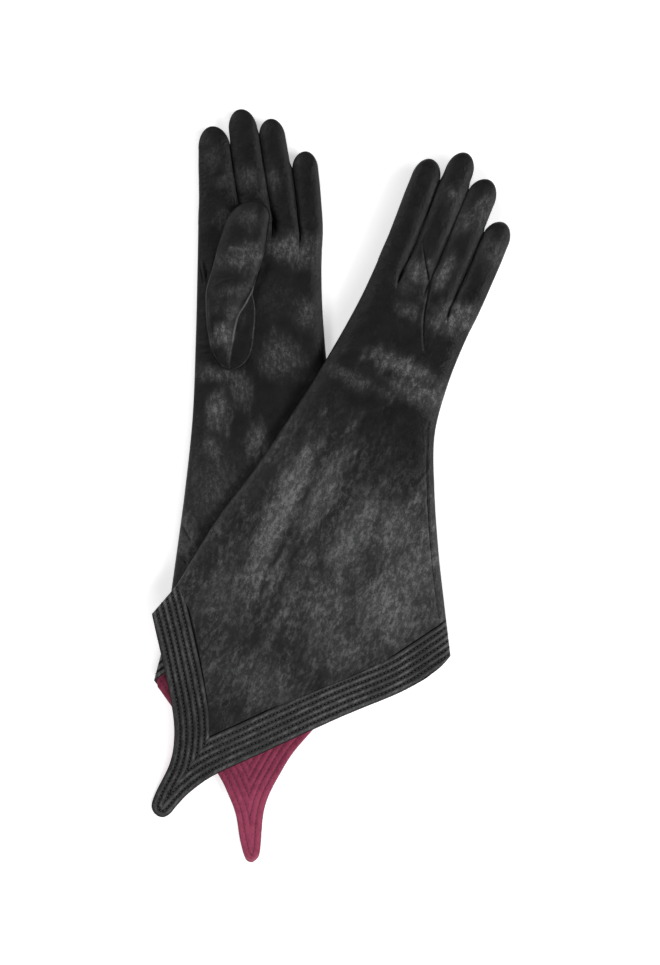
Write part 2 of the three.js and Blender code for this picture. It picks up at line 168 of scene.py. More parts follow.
# A finger: its centre on the fold line, its tip, and its half widths at the fold line and the tip.
# The web is the line between the fingers' roots, from the index side to the little finger's side.
LEFT = {
    "name": "left", "palm_up": True, "turn": 0, "thumb_turn": 0, "seed": 7,
    "front": (127.5, -0.189, -0.0058),
    "web": [(-41.4, 109), (-11.9, 110.9), (7.9, 112.2), (26.0, 102.3), (40.5, 94)],
    "fingers": {
        "index": (-28.2, (-32.3, 173.6), (12.3, 10.2)),
        "middle": (-5.0, (-13.9, 184.8), (10.1, 9.4)),
        "ring": (14.7, (5.9, 178.5), (8.8, 8.4)),
        "little": (32.4, (29.0, 157.1), (8.2, 7.9)),
    },
    "left_edge": [(-41, 125.5), (-41.8, 78), (-43, 30), (-45, -18), (-50, -66), (-56.3, -113),
                  (-64, -167)],
    "right_edge": [(41, 110), (40, 75), (41.5, 40), (46, 5), (60, -30), (80, -66), (103, -101)],
    "hem_left": [(-70.6, -192.1), (-50, -221), (-28.5, -252.7), (-20.9, -267.9), (-16.3, -280.5),
                 (-13.6, -297), (-10, -309.1), (-5.9, -311.5)],
    "hem_right": [(-5.9, -311.5), (-2, -308.2), (-0.5, -302), (1.3, -280.5), (5.2, -267), (12.7, -252.7),
                  (21.1, -239.2), (35.5, -222.4), (62, -191), (92, -158), (110, -134), (116, -122)],
    "inner_left": [(-64, -167), (-51, -178), (-38.8, -194.5), (-24, -216.5), (-8, -240)],
    "inner_right": [(-8, -240), (-0.2, -229.8), (14, -209.5), (44, -178), (70, -149), (90, -121),
                    (103, -101)],
    "palm_hem": [(-70.6, -192.1), (-30, -166), (20, -143), (70, -130), (116, -122)],
    "palm_inner": [(-64, -167), (-28, -142), (22, -119), (66, -107.5), (103, -101)],
}
RIGHT = {
    "name": "right", "palm_up": False, "turn": 24, "thumb_turn": 18, "seed": 11,
    "front": (111, -0.2067, -0.00516),
    "web": [(-37.6, 93), (-19.4, 94.4), (-0.4, 94.6), (18.9, 84.6), (36.9, 76)],
    "fingers": {
        "index": (-28.4, (-31.8, 168.1), (9.1, 9.0)),
        "middle": (-9.9, (-12.8, 181.1), (8.9, 9.2)),
        "ring": (9.2, (8.0, 171.0), (9.3, 9.3)),
        "little": (28.4, (28.2, 149.1), (8.8, 8.6)),
    },
    "left_edge": [(-37.6, 111.5), (-37.6, 68), (-41.5, 23), (-47.6, -20), (-55.5, -65), (-64.7, -106),
                  (-71.1, -155.2)],
    "right_edge": [(37.6, 96), (36.6, 65), (38, 35), (43.3, 3.4), (57, -28), (77, -66), (99.5, -104.3)],
    "hem_left": [(-78.4, -179.4), (-56.1, -209.2), (-39, -234.1), (-31.1, -250.8), (-27.9, -266),
                 (-28.6, -286), (-27.7, -295.4), (-24.3, -299.3), (-21, -300.3)],
    "hem_right": [(-21, -300.3), (-17.4, -299.6), (-14.3, -295.8), (-12.3, -288.9), (-7.7, -276.4),
                  (3.1, -258.2), (27.2, -230.4), (61.9, -191), (92.4, -159), (107, -138), (112, -125)],
    "inner_left": [(-71.1, -155.2), (-52.7, -171.1), (-36, -195), (-19.1, -220.7), (-11.6, -237.5)],
    "inner_right": [(-11.6, -237.5), (9.9, -212.3), (38.6, -183.7), (67, -153.7), (86.5, -124.8),
                    (99.5, -104.3)],
    "palm_hem": [(-78.4, -179.4), (-36, -158), (14, -140), (66, -129), (112, -125)],
    "palm_inner": [(-71.1, -155.2), (-34, -134.5), (15, -117), (62, -107.5), (99.5, -104.3)],
}
FINGER_NAMES = ("index", "middle", "ring", "little")

# The thumb's rows: v, and u of its left edge, of its right edge, and of its gusset's left edge.
THUMB_ROWS = [
    (14, -33.6, -4.6, -20), (24, -33.6, -4.6, -19.2), (33, -34.2, -4.5, -17.6), (40, -35.3, -3.8, -16.6),
    (48, -36, -3.3, -14.4), (56, -36.2, -3.6, -10),
    (64, -36, -5, -6), (70, -34.6, -3.6, -3.6), (78, -32, -1.3, -1.3), (92, -28.5, 3, 3),
    (108, -23.5, 5.5, 5.5),
]
THUMB_TIP = (-4.6, 124)
THUMB_PIVOT = (-20, 37)
THUMB_HOLE = (11, 18)
THUMB_OVAL = (33, 19.5)
OVAL_START = 3
THUMB_WELT = {"rise": 0.5, "half_width": 0.45, "inside": 0.75, "ends": (64, 74)}
THUMB_GAP = 0.3 * MM
THUMB_UNDERSIDE_FROM = 64
THUMB_UNDERSIDE_STRETCH = (50, 76)
THUMB_HEIGHTS = (1.8, 9)
THUMB_HEIGHT_STRETCH = (14, 54)
THINNEST_TOP = 0.6 * MM
THINNEST_UNDERSIDE = 0.2 * MM
GUSSET_RISE = 1.3 * MM
GUSSET_FROM = 0.4
# The gusset beside the thumb's fold gets painted shade, and the fold and the welt get painted highlights.
GUSSET_APART = (0.6, 2.5)
GUSSET_SHADE = 0.3
GUSSET_SHADE_EDGE = (0.1, 0.9)
NARROWEST = 0.2
SHINE_WIDTH = 0.4
FOLD_SHINE = 2.2
FOLD_SHINE_INSET = 0.6
FOLD_SHINE_START = (16, 40)
FOLD_SHINE_END = (86, 98)
WELT_SHINE = 0.6
WELT_SHINE_END = (58, 66)
WELT_SHINE_LEFT = 6

# Noise in layers: height and squeeze along the hand, then the size of its bumps, in millimetres.
HAND_RELIEF = ((0.5, 0.6, 26), (0.22, 0.7, 10), (0.11, 0.8, 3.6), (0.05, 1, 1.7))
HAND_SINK = 0.25
CUFF_STREAKS = ((0.16, 0.3, 4.2),)
CUFF_START = (-20 * MM, 60 * MM)
THUMB_RELIEF = ((0.3, 0.8, 14), (0.14, 1, 6), (0.1, 1, 3), (0.04, 1, 1.5))
THUMB_SINK = 0.15
THUMB_SEED = 61
RAGGED_EDGES = ((0.55, 0.5, 7), (0.35, 0.45, 2.6))
RAGGED_SEED = 31
WEAR_AND_SHEEN_FALL = 1.3

# Relief fades towards a glove's edges, under the other glove's cuff, and on faces that are hidden.
RELIEF_FADE = (0.15, 0.75)
THUMB_RELIEF_FADE = (1.0 * MM, 3.5 * MM)
COVERED_CUFF = (10 * MM, 60 * MM)
COVERED_CALM = 0.75
HIDDEN_RELIEF = 0.15

# The quilted ridges get painted highlights in stretches, and their grooves get painted shade.
SHINE_RANGE = (0.1, 1.0)
SHINE_LENGTH = 16 * MM
SHINE_SEED = 51
RIDGE_SHINE = 5
GROOVE_FALL = 1.4

# Creases fade out towards their ends, and one narrower than this, in millimetres, gets painted shade.
CREASE_ENDS = (0.12, 0.88)
CREASE_TAPER = 0.7
NARROW_CREASE = 1.05
CREASE_SHADE_STRENGTH = 0.75

# Creases: pattern points, depth (negative for a raised fold) and half width, in millimetres.
CREASES = {
    "right_back": [
        ([(-15.2, 115), (-7.8, 103.5), (-0.9, 93.6), (1.5, 86)], 1.0, 0.8),
        ([(-0.5, 94), (2.2, 84.8), (5, 73), (10.3, 59.5), (15.5, 50)], 0.8, 1.0),
        ([(-19.4, 94.4), (-19.6, 88), (-18.8, 83)], 0.8, 0.9),
        ([(18.9, 84.6), (19.6, 78), (21.5, 73)], 0.8, 1.0),
        ([(13.6, 92), (15.2, 85), (17.2, 80), (21, 78), (23.4, 82)], -0.5, 0.8),
        ([(29.8, 79), (34.2, 77.4), (37, 73)], -0.45, 0.9),
        ([(-24, 33), (-12, 36.6), (4.5, 35.3), (19.2, 34.6), (35.7, 31.8)], -0.9, 3.2),
        ([(-14.4, 35.5), (-9, 31), (-3.6, 27.6)], 0.7, 1.3),
        ([(-30, 26), (-12, 27), (6, 25), (24, 22)], 0.7, 2.6),
        ([(27.3, 45.8), (33.7, 54)], -0.5, 0.8),
        ([(45.8, -31.6), (49.6, -18.9)], -0.6, 0.9),
        ([(-0.4, 0.9), (8, 11.1)], -0.4, 0.9),
        ([(-22.9, -23.2), (-16.7, -26)], -0.4, 0.8),
        ([(8.8, 158.2), (12, 155.6), (15.3, 152.1)], -0.6, 0.6),
        ([(9.1, 144.8), (12.6, 142.6), (14.5, 139)], -0.5, 0.6),
        ([(0.2, 139.8), (3, 140.6), (6.4, 138.6)], -0.4, 0.6),
        ([(2, 150), (6, 147), (8, 143)], -0.3, 0.6),
        ([(-31.6, 134.1), (-27.3, 136), (-22.5, 136.6)], -0.35, 0.7),
        ([(-18.4, 151.5), (-12, 151.8), (-7.2, 150.7)], -0.35, 0.8),
        ([(-9.6, 158), (-6.2, 155)], -0.4, 0.7),
        ([(25, 130.6), (28, 129.4), (31.2, 127)], -0.4, 0.7),
        ([(-30, -45), (-29, -86), (-24, -122)], -0.5, 4.5),
        ([(-14, -41), (-4, -66), (-1, -80)], -0.35, 4.0),
        ([(16, -60), (26, -86), (31, -120)], -0.35, 5.0),
        ([(42, -62), (50, -90), (62, -118)], -0.3, 5.0),
        ([(36, 10), (38.9, 1.1), (52.6, -30.3), (72.6, -68.3), (95.1, -106.6), (99, -112)], 0.5, 0.45),
        ([(37.5, 10.8), (40.4, 1.9), (54.1, -29.5), (74.1, -67.5), (96.6, -105.8), (100, -111)], -0.12, 0.6),
    ],
    "left_palm": [
        ([(-38.9, 84), (-37.4, 76), (-36.2, 69)], -0.6, 0.7),
        ([(-40.4, 82), (-38.8, 75), (-37.4, 69)], 0.7, 0.6),
        ([(-37.6, 86), (-36, 78), (-35, 70)], 0.6, 0.6),
        ([(-41.8, 29.7), (-35.5, 29.9)], -0.4, 0.9),
        ([(-42, 14.4), (-25.7, 10.5), (-10.5, 6.9)], -0.8, 3.2),
        ([(-20.8, 9.9), (-15, 2), (-8.5, -5.6)], -0.5, 1.6),
        ([(-30, -6), (-29.5, -24)], -0.5, 1.8),
        ([(-5, -28), (0.5, -46)], -0.5, 1.8),
        ([(-51.5, -89.8), (-44.2, -103.6)], 0.7, 0.8),
        ([(-52.8, -110.2), (-48.5, -115.5)], 0.7, 0.8),
        ([(31.7, 54), (29.5, 47), (27.7, 43)], -0.45, 1.8),
        ([(15.5, 29), (13, 14)], -0.3, 2.4),
        ([(22, 103.6), (24, 100.4), (26.6, 99.6), (29.4, 101), (31.2, 104)], -0.5, 0.7),
        ([(26, 102.3), (26.4, 97)], 0.5, 0.8),
        ([(5.6, 108.4), (8.6, 109.6)], -0.5, 0.8),
        ([(7.9, 112.2), (9.6, 104)], 0.6, 0.9),
    ],
    "left_thumb": [
        ([(-19.5, 92.2), (-16.6, 91.2)], -0.4, 0.9),
        ([(-14.4, 91.8), (-10.4, 91.6)], -0.45, 0.9),
        ([(-24, 89.6), (-15.4, 88.8), (-4, 90.4)], -0.25, 0.7),
        ([(-31, 67.3), (-23.8, 71.3), (-15.2, 71.9), (-7.6, 67)], -0.35, 0.7),
        ([(-7, 78.9), (-2, 78.9)], -0.4, 0.8),
        ([(-18, 114), (-8, 117), (0, 114)], -0.3, 0.9),
        ([(-20, 44), (-24, 52), (-20, 58)], -0.35, 0.9),
        ([(-29, 40), (-26.5, 34), (-25.6, 28)], -0.4, 0.7),
    ],
}

# Rubbed patches that look greyer, from wear together with painted sheen: pattern position, half lengths
# across and along, and strength.
WEAR_AND_SHEEN_PATCHES = {
    "right_back": [
        (25, 79, 14, 8, 0.9), (20, 71, 12, 6, 0.5), (6, 104, 4, 13, 0.8), (-11, 96, 7, 9, 0.6),
        (30, 84, 6, 8, 0.7), (-23, 15, 20, 5, 0.35), (8, 35, 26, 6, 0.8), (24, 25, 20, 9, 0.65),
        (36, 27, 10, 7, 0.6), (-29, -85, 8, 48, 0.9), (-8, -60, 7, 30, 0.5), (22, -80, 12, 34, 0.55),
        (44, -66, 14, 22, 0.5), (66, -88, 16, 24, 0.55), (60, -112, 22, 18, 0.65), (24, -130, 18, 26, 0.35),
        (42, -150, 16, 18, 0.3), (-40, -150, 20, 26, 0.25), (0, -190, 26, 16, 0.3), (0, -125, 6, 34, 0.3),
        (-14, -120, 4, 30, 0.3), (12, 150, 6, 14, 0.5), (5, 140, 7, 10, 0.4), (30, 128, 7, 12, 0.3),
        (-10, 152, 8, 6, 0.3), (-12, 84, 8, 6, 0.25), (-6, 70, 8, 6, 0.35),
    ],
    "left_palm": [
        (20, 93, 17, 9, 0.75), (28, 86, 12, 8, 0.35), (30, 50, 7, 12, 0.5), (14, 22, 14, 14, 0.45),
        (-28, 10, 17, 5, 0.5), (-14, 2, 7, 10, 0.45), (-29, -14, 7, 14, 0.7), (-33, -38, 6, 9, 0.4),
        (-2, -36, 7, 12, 0.55), (-25, 137, 6, 5, 0.35), (-22, 112, 7, 8, 0.45), (-9, 138, 8, 8, 0.4),
        (7, 137, 7, 10, 0.35), (-31, 152, 5, 10, 0.3), (10, 60, 16, 14, 0.12), (-48, -98, 8, 16, 0.45),
        (-30, -70, 18, 26, 0.2),
    ],
    "left_thumb": [
        (-25, 37, 7, 8, 0.9), (-17, 50, 9, 8, 0.35), (-12, 86, 14, 9, 0.55), (-16, 64, 12, 5, 0.35),
        (-8, 112, 9, 7, 0.3), (-18, 92, 3, 2, 1.0), (-12, 91.5, 3.4, 1.8, 1.0),
    ],
}


# ---- Pattern maths ----


def smooth(value, start, end):
    """0 before start, 1 after end, and a smooth rise between them."""
    share = np.clip((value - start) / (end - start), 0, 1)
    return share * share * (3 - 2 * share)


def mix(a, b, share):
    return a + (b - a) * share


def hump(away, width):
    """1 where away is 0, falling smoothly to almost nothing at twice the width."""
    return np.exp(-((away / width) ** 2))


def run_along(points):
    """The length along a line of points, 0 at its first point."""
    return np.concatenate([[0], np.cumsum(np.linalg.norm(np.diff(points, axis=0), axis=1))])


def curve(points):
    """A smooth curve through pattern points, called with 0 to 1 in equal steps a point."""
    p = np.array(points, float) * MM
    last = len(p) - 1

    def at(share):
        place = np.clip(share, 0, 1) * last
        i = np.minimum(np.floor(place).astype(int), last - 1)
        f = (place - i)[..., None]
        before, here, there, after = p[np.maximum(i - 1, 0)], p[i], p[i + 1], p[np.minimum(i + 2, last)]
        out, into = (there - before) / 2, (after - here) / 2
        cubic = 2 * here - 2 * there + out + into
        square = -3 * here + 3 * there - 2 * out - into
        return ((cubic * f + square) * f + out) * f + here

    return at


def evenly(at):
    """The same curve, called with 0 to 1 in equal steps of its length."""
    shares = np.linspace(0, 1, CURVE_SAMPLES)
    run = run_along(at(shares))
    return lambda share: at(np.interp(share, run / run[-1], shares))


def straight(points):
    """Straight lines through pattern points, called with 0 to 1 in equal steps a point."""
    p = np.array(points, float) * MM
    knots = np.linspace(0, 1, len(p))
    return lambda share: np.stack([np.interp(share, knots, p[:, k]) for k in (0, 1)], -1)


def speckle(u, v, cell, seed):
    """Smooth noise from -1 to 1 over the pattern, with bumps about one cell wide."""
    table = np.random.default_rng(seed).uniform(-1, 1, (NOISE_TABLE, NOISE_TABLE))
    x, y = u / cell, v / cell
    i, j = np.floor(x).astype(int), np.floor(y).astype(int)
    fx, fy = smooth(x - i, 0, 1), smooth(y - j, 0, 1)
    corner = lambda a, b: table[(i + a) % NOISE_TABLE, (j + b) % NOISE_TABLE]
    near = mix(corner(0, 0), corner(1, 0), fx)
    far = mix(corner(0, 1), corner(1, 1), fx)
    return mix(near, far, fy)


def layered(u, v, layers, seed):
    """The sum of layers of noise, each with its own height, squeeze along the hand and bump size."""
    return sum(
        height * speckle(u, v * squeeze, size * MM, seed + k)
        for k, (height, squeeze, size) in enumerate(layers)
    )


def distance_to_line(u, v, points):
    """How far each pattern place is from a line of points, and the share of the line's length there."""
    line = np.array(points, float) * MM
    run = run_along(line)
    nearest = np.full(u.shape, np.inf)
    along = np.zeros(u.shape)
    for start, end, before in zip(line[:-1], line[1:], run):
        length = np.linalg.norm(end - start)
        way = (end - start) / max(length, TINY)
        place = np.clip((u - start[0]) * way[0] + (v - start[1]) * way[1], 0, length)
        away = np.hypot(u - start[0] - way[0] * place, v - start[1] - way[1] * place)
        closer = away < nearest
        nearest = np.where(closer, away, nearest)
        along = np.where(closer, (before + place) / run[-1], along)
    return nearest, along


def crease_relief(key, u, v):
    """The height that a face's creases and raised folds add, and how much painted shade the creases get, from
    0 to 1.
    """
    height, dark = np.zeros(u.shape), np.zeros(u.shape)
    for points, depth, half_width in CREASES.get(key, []):
        bends = curve(points)(np.linspace(0, 1, 3 * len(points))) / MM
        away, along = distance_to_line(u, v, bends)
        taper = np.sin(math.pi * mix(*CREASE_ENDS, along)) ** CREASE_TAPER
        shape = taper * hump(away, half_width * MM)
        height -= depth * MM * shape
        if depth > 0 and half_width < NARROW_CREASE:
            dark = np.maximum(dark, CREASE_SHADE_STRENGTH * shape)
    return height, dark


def wear_and_sheen_at(key, u, v):
    """How grey a face's leather is, from 0 to 1: rubbed wear together with painted sheen."""
    strength = np.zeros(u.shape)
    ragged = 1 + layered(u, v, RAGGED_EDGES, RAGGED_SEED)
    for at_u, at_v, across, along, most in WEAR_AND_SHEEN_PATCHES.get(key, []):
        away = ((u / MM - at_u) / across) ** 2 + ((v / MM - at_v) / along) ** 2
        strength = np.maximum(strength, most * np.exp(-((away * ragged) ** WEAR_AND_SHEEN_FALL)))
    return strength


def droop(u, v):
    """How far the right glove sinks below its stack height."""
    u, v = u / MM, v / MM
    fingers = FINGER_DROOP["drop"] * smooth(v, *FINGER_DROOP["stretch"])
    tail_u, tail_v = TAIL_DROOP["start"]
    past_tail = (tail_v - v - TAIL_DROOP["slant"] * (u - tail_u)) / math.hypot(1, TAIL_DROOP["slant"])
    tail = TAIL_DROOP["drop"] * smooth(past_tail, *TAIL_DROOP["stretch"])
    side_u, side_v = SIDE_DROOP["start"]
    past_side = u - side_u - SIDE_DROOP["slant"] * (v - side_v)
    side = SIDE_DROOP["drop"] * smooth(past_side, *SIDE_DROOP["stretch"]) * smooth(-v, *SIDE_DROOP["below"])
    return (fingers + tail + side) * MM


def turned(vectors, degrees):
    """The u and v of vectors, turned clockwise as seen from above."""
    turn = math.radians(degrees)
    u, v = vectors[..., 0], vectors[..., 1]
    return np.stack([u * math.cos(turn) + v * math.sin(turn), v * math.cos(turn) - u * math.sin(turn)], -1)


def hinge_of(name):
    """A joint's place in the frame."""
    return next(joint["pos_m"] for joint in frame["joints"] if joint["name"] == name)


def wrist_of(glove):
    """Where the pattern's origin lies, worked out from the thumb's hinge in the frame."""
    hinge = np.array(hinge_of(f"{glove['name']}_thumb_swing")[:2])
    return hinge - turned(np.array(THUMB_PIVOT) * MM, glove["turn"])


def placed(glove, uvw):
    """Pattern points as points of the frame, none of them under the table."""
    u, v, w = uvw[..., 0], uvw[..., 1], uvw[..., 2]
    z = THICKNESS - w if glove["palm_up"] else STACK_HEIGHT + w - droop(u, v)
    return np.concatenate([glove["wrist"] + turned(uvw, glove["turn"]), np.maximum(z, 0)[..., None]], -1)


# ---- Sheets ----


def grid_normals(points, wraps):
    """Unit normals of a grid of points, with rows first."""
    if wraps:
        padded = np.concatenate([points[:, -1:], points, points[:, :1]], axis=1)
        across = (padded[:, 2:] - padded[:, :-2]) / 2
    else:
        across = np.gradient(points, axis=1)
    normals = np.cross(across, np.gradient(points, axis=0))
    lengths = np.linalg.norm(normals, axis=-1, keepdims=True)
    return normals / np.maximum(lengths, NO_AREA)


def sheet_mesh(name, outer, inner, wraps, dropped):
    """A closed sheet between two grids of points. dropped marks the squares that are left out."""
    rows, columns = outer.shape[:2]
    index = np.arange(rows * columns).reshape(rows, columns)
    right = np.roll(index, -1, axis=1) if wraps else index[:, 1:]
    left = index if wraps else index[:, :-1]
    quads = np.stack([left[:-1], right[:-1], right[1:], left[1:]], -1)
    kept = np.ones(quads.shape[:2], bool) if dropped is None else ~dropped
    quads = quads[kept]
    count = rows * columns
    edges = np.concatenate([quads[:, [k, (k + 1) % 4]] for k in range(4)])
    codes = edges[:, 0] * count + edges[:, 1]
    reverse = edges[:, 1] * count + edges[:, 0]
    border = edges[~np.isin(codes, reverse)]
    rim = np.stack([border[:, 1], border[:, 0], border[:, 0] + count, border[:, 1] + count], -1)
    faces = np.concatenate([quads, quads[:, ::-1] + count, rim])
    points = np.concatenate([outer.reshape(-1, 3), inner.reshape(-1, 3)])
    return mesh_object(name, points, faces)


def mesh_object(name, points, faces):
    """A mesh object with outward faces, from arrays of points and of four-sided faces."""
    used = np.unique(faces)
    renumber = np.full(len(points), -1)
    renumber[used] = np.arange(len(used))
    points, faces = points[used], renumber[faces]
    a, b, c, d = (points[faces[:, k]] for k in range(4))
    volume = (np.einsum("ij,ij->i", a, np.cross(b, c)) + np.einsum("ij,ij->i", a, np.cross(c, d))).sum()
    if volume < 0:
        faces = faces[:, ::-1]
    mesh = bpy.data.meshes.new(name)
    mesh.vertices.add(len(points))
    mesh.vertices.foreach_set("co", points.astype(np.float32).ravel())
    mesh.loops.add(faces.size)
    mesh.loops.foreach_set("vertex_index", faces.astype(np.int32).ravel())
    mesh.polygons.add(len(faces))
    mesh.polygons.foreach_set("loop_start", np.arange(0, faces.size, 4, dtype=np.int32))
    mesh.polygons.foreach_set("use_smooth", np.ones(len(faces), bool))
    mesh.update(calc_edges=True)
    mesh.set_sharp_from_angle(angle=SHARP_ANGLE)
    obj = bpy.data.objects.new(name, mesh)
    bpy.context.scene.collection.objects.link(obj)
    return obj, used


def store(obj, used, name, values):
    """Keeps a number or a vector for each point, for the materials to read."""
    values = np.concatenate([values, values])[used].astype(np.float32)
    kind = "FLOAT" if values.ndim == 1 else "FLOAT_VECTOR"
    attribute = obj.data.attributes.new(name, kind, "POINT")
    attribute.data.foreach_set("value" if kind == "FLOAT" else "vector", values.ravel())


def add_sheet(glove, node, faces, finish, key="", wraps=False, dropped=None, wear_and_sheen=None, groove_shade=None):
    """One detailed piece in place of a CAD node, between an outer and an inner face of pattern points.

    key picks the creases and the rubbed patches, unless the last two arguments give where the piece is
    greyer, with wear and painted highlights, and where it gets painted shade.
    """
    name = f"{glove['name']}_{node}"
    outer, inner = faces
    material, slot = finish
    u, v = outer[..., 0], outer[..., 1]
    obj, used = sheet_mesh(f"{name}_detail", placed(glove, outer), placed(glove, inner), wraps, dropped)
    store(obj, used, "pattern", outer.reshape(-1, 3))
    # Greyer places from wear and painted highlights, and places of painted shade, kept for the materials.
    store(obj, used, "wear_and_sheen", (wear_and_sheen_at(key, u, v) if wear_and_sheen is None else wear_and_sheen).ravel())
    store(obj, used, "groove_shade", (crease_relief(key, u, v)[1] if groove_shade is None else groove_shade).ravel())
    obj.data.materials.append(material)
    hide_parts(name)
    return obj


def with_inside(uvw, depth, wraps=False):
    """An outer face, and the same face moved straight inwards by a depth."""
    outward = grid_normals(uvw, wraps)
    if ((uvw - np.array([0, 0, HALF])) * outward)[..., 2].sum() < 0:
        outward = -outward
    return uvw, uvw - outward * depth


# ---- Relief of the leather ----


def is_seen(glove, side):
    """Whether a glove's side faces up, so that the photograph shows it."""
    return (side == "palm") == glove["palm_up"]


def columns_of(glove, side):
    return FINGER_COLUMNS if is_seen(glove, side) else HIDDEN_FINGER_COLUMNS


def soft_relief(glove, side, u, v):
    """Gentle swells and wrinkles. Faces that touch a neighbour get less of them."""
    seen = is_seen(glove, side)
    covered = smooth(-v, *COVERED_CUFF) if glove["palm_up"] else 0
    amount = 1 - COVERED_CALM * covered if seen else HIDDEN_RELIEF
    streaks = smooth(-v, *CUFF_START) * layered(u, v, CUFF_STREAKS, glove["seed"] + len(HAND_RELIEF))
    height = (layered(u, v, HAND_RELIEF, glove["seed"]) - HAND_SINK + streaks) * amount
    creases, _ = crease_relief(f"{glove['name']}_{side}", u, v)
    return height * MM + (creases if seen else 0)


def quilt_guide(glove, side):
    """The line that the quilting keeps even distances from: the hem, run on past the glove's sides.

    The back's hem turns at its last point, which the guide leaves out.
    """
    parts = [glove["hem_left"], glove["hem_right"][:-1]] if side == "back" else [glove["palm_hem"]]
    line = np.concatenate([curve(part)(np.linspace(0, 1, HEM_SAMPLES)) for part in parts])
    ends = [end + (end - inner) / np.linalg.norm(end - inner) * GUIDE_OVERRUN
            for end, inner in ((line[0], line[3]), (line[-1], line[-4]))]
    return np.concatenate([ends[:1], line, ends[1:]])


def quilt_share(glove, side, u, v):
    """The share of the quilting's width, 0 at its seam and 1 at the hem, in even steps from the hem."""
    away, _ = distance_to_line(u, v, quilt_guide(glove, side) / MM)
    return 1 - away / BAND_WIDTH


def ridge_at(share):
    """The quilting's section from the seam, share 0, to the hem, share 1: 0 in a groove and 1 on a ridge."""
    return 1 - np.abs(2 * (share * CHANNELS % 1.0) - 1) ** CHANNEL_ROUNDNESS


def channel_relief(share, along, rise):
    """How far the quilted ridges stand up. They are slightly uneven along their length."""
    channel = np.floor(share * CHANNELS)
    uneven = 1 + UNEVEN_RISE * speckle(along, channel * CHANNEL_STEP, UNEVEN_LENGTH, UNEVEN_SEED)
    return rise * ridge_at(share) * uneven


# ---- Hand, cuff and band ----


def hand_surface(glove):
    """The shapes that a glove's hand and cuff are stretched between."""
    web = straight(glove["web"])
    curves = {key: evenly(curve(glove[key])) for key in (
        "hem_left", "hem_right", "inner_left", "inner_right", "palm_hem", "palm_inner")}

    def edge_from_web(edge, start_v):
        shares = np.linspace(0, 1, EDGE_SAMPLES)
        first = np.interp(-start_v, -edge(shares)[:, 1], shares)
        return lambda t: edge(mix(first, 1, t))

    left = edge_from_web(curve(glove["left_edge"]), glove["web"][0][1] * MM)
    right = edge_from_web(curve(glove["right_edge"]), glove["web"][-1][1] * MM)

    def two_part(first, second, s):
        on_first = curves[first](np.clip(s / TAIL_SHARE, 0, 1))
        on_second = curves[second](np.clip((s - TAIL_SHARE) / (1 - TAIL_SHARE), 0, 1))
        return np.where((s < TAIL_SHARE)[..., None], on_first, on_second)

    def inner(side, s):
        return two_part("inner_left", "inner_right", s) if side == "back" else curves["palm_inner"](s)

    def hem(side, s):
        return two_part("hem_left", "hem_right", s) if side == "back" else curves["palm_hem"](s)

    def hand(side, s, t):
        share, down = s[..., None], t[..., None]
        along = mix(web(s), inner(side, s), down)
        across = mix(left(t), right(t), share)
        near = mix(web(s * 0), web(s * 0 + 1), share)
        far = mix(inner(side, s * 0), inner(side, s * 0 + 1), share)
        return along + across - mix(near, far, down)

    def band(side, s, t):
        return mix(inner(side, s), hem(side, s), t[..., None])

    def width(t):
        return np.linalg.norm(right(t) - left(t), axis=-1)

    return hand, band, width


def section(angle):
    """A rounded finger section: place across and height at an angle, both from -1 to 1."""
    power = 2 / SQUARENESS
    across = np.sign(np.cos(angle)) * np.abs(np.cos(angle)) ** power
    height = np.sign(np.sin(angle)) * np.abs(np.sin(angle)) ** power
    return across, height


def web_columns(steps):
    """Across the fingers' roots: each column's share of the web line, and its height, for four fingers."""
    across, height = section(np.linspace(math.pi, 0, steps + 1))
    shares, heights = [], []
    for k in range(len(FINGER_NAMES)):
        skip = 0 if k == 0 else 1
        shares.append((k + (across[skip:] + 1) / 2) / len(FINGER_NAMES))
        heights.append(height[skip:])
    return np.concatenate(shares), np.concatenate(heights)


def rolled_columns(count, roll):
    """Across the cuff: columns round one rolled edge, over the flat stretch, and round the other."""
    place = np.linspace(0, 1, count)
    turn = np.clip(np.minimum(place, 1 - place) / ROLLED_COLUMNS, 0, 1) * math.pi / 2
    flat = mix(roll, 1 - roll, (place - ROLLED_COLUMNS) / (1 - 2 * ROLLED_COLUMNS))
    edge = roll * (1 - np.cos(turn))
    shares = np.where(place < ROLLED_COLUMNS, edge, np.where(place > 1 - ROLLED_COLUMNS, 1 - edge, flat))
    return shares, np.sin(turn)


def hand_face(glove, side):
    """The outer face of a panel of the hand and cuff, from the web down to the band."""
    hand, _, width = hand_surface(glove)
    rows = HAND_ROWS if is_seen(glove, side) else HIDDEN_HAND_ROWS
    t = np.linspace(0, 1, rows)
    web_share, web_height = web_columns(columns_of(glove, side))
    count = len(web_share)
    s, height = np.zeros((rows, count)), np.zeros((rows, count))
    down = run_along(hand(side, t * 0 + 0.5, t))
    for i in range(rows):
        roll = EDGE_ROLL / width(t[i: i + 1])[0]
        cuff_share, cuff_height = rolled_columns(count, roll)
        s[i] = mix(web_share, cuff_share, smooth(down[i], 0, WEB_SPREAD))
        edge = np.clip(np.minimum(s[i], 1 - s[i]) / roll, 0, 1)
        flat_height = mix(np.sqrt(1 - (1 - edge) ** 2), cuff_height, smooth(down[i], CUFF_ROLL, WEB_SPREAD))
        height[i] = mix(web_height, flat_height, smooth(down[i], 0, WEB_FLATTEN))
    uv = hand(side, s, np.repeat(t[:, None], count, axis=1))
    return finish_face(glove, side, uv, height)


def finish_face(glove, side, uv, height, extra=0):
    """Adds relief to a face and lifts it to its side of the glove."""
    u, v = uv[..., 0], uv[..., 1]
    relief = soft_relief(glove, side, u, v) + extra
    return lifted(side, u, v, HALF * height + relief * smooth(np.abs(height), *RELIEF_FADE))


def lifted(side, u, v, rise):
    """A face that stands a rise above the glove's middle on one of its sides."""
    return np.stack([u, v, HALF + rise if side == "back" else HALF - rise], -1)


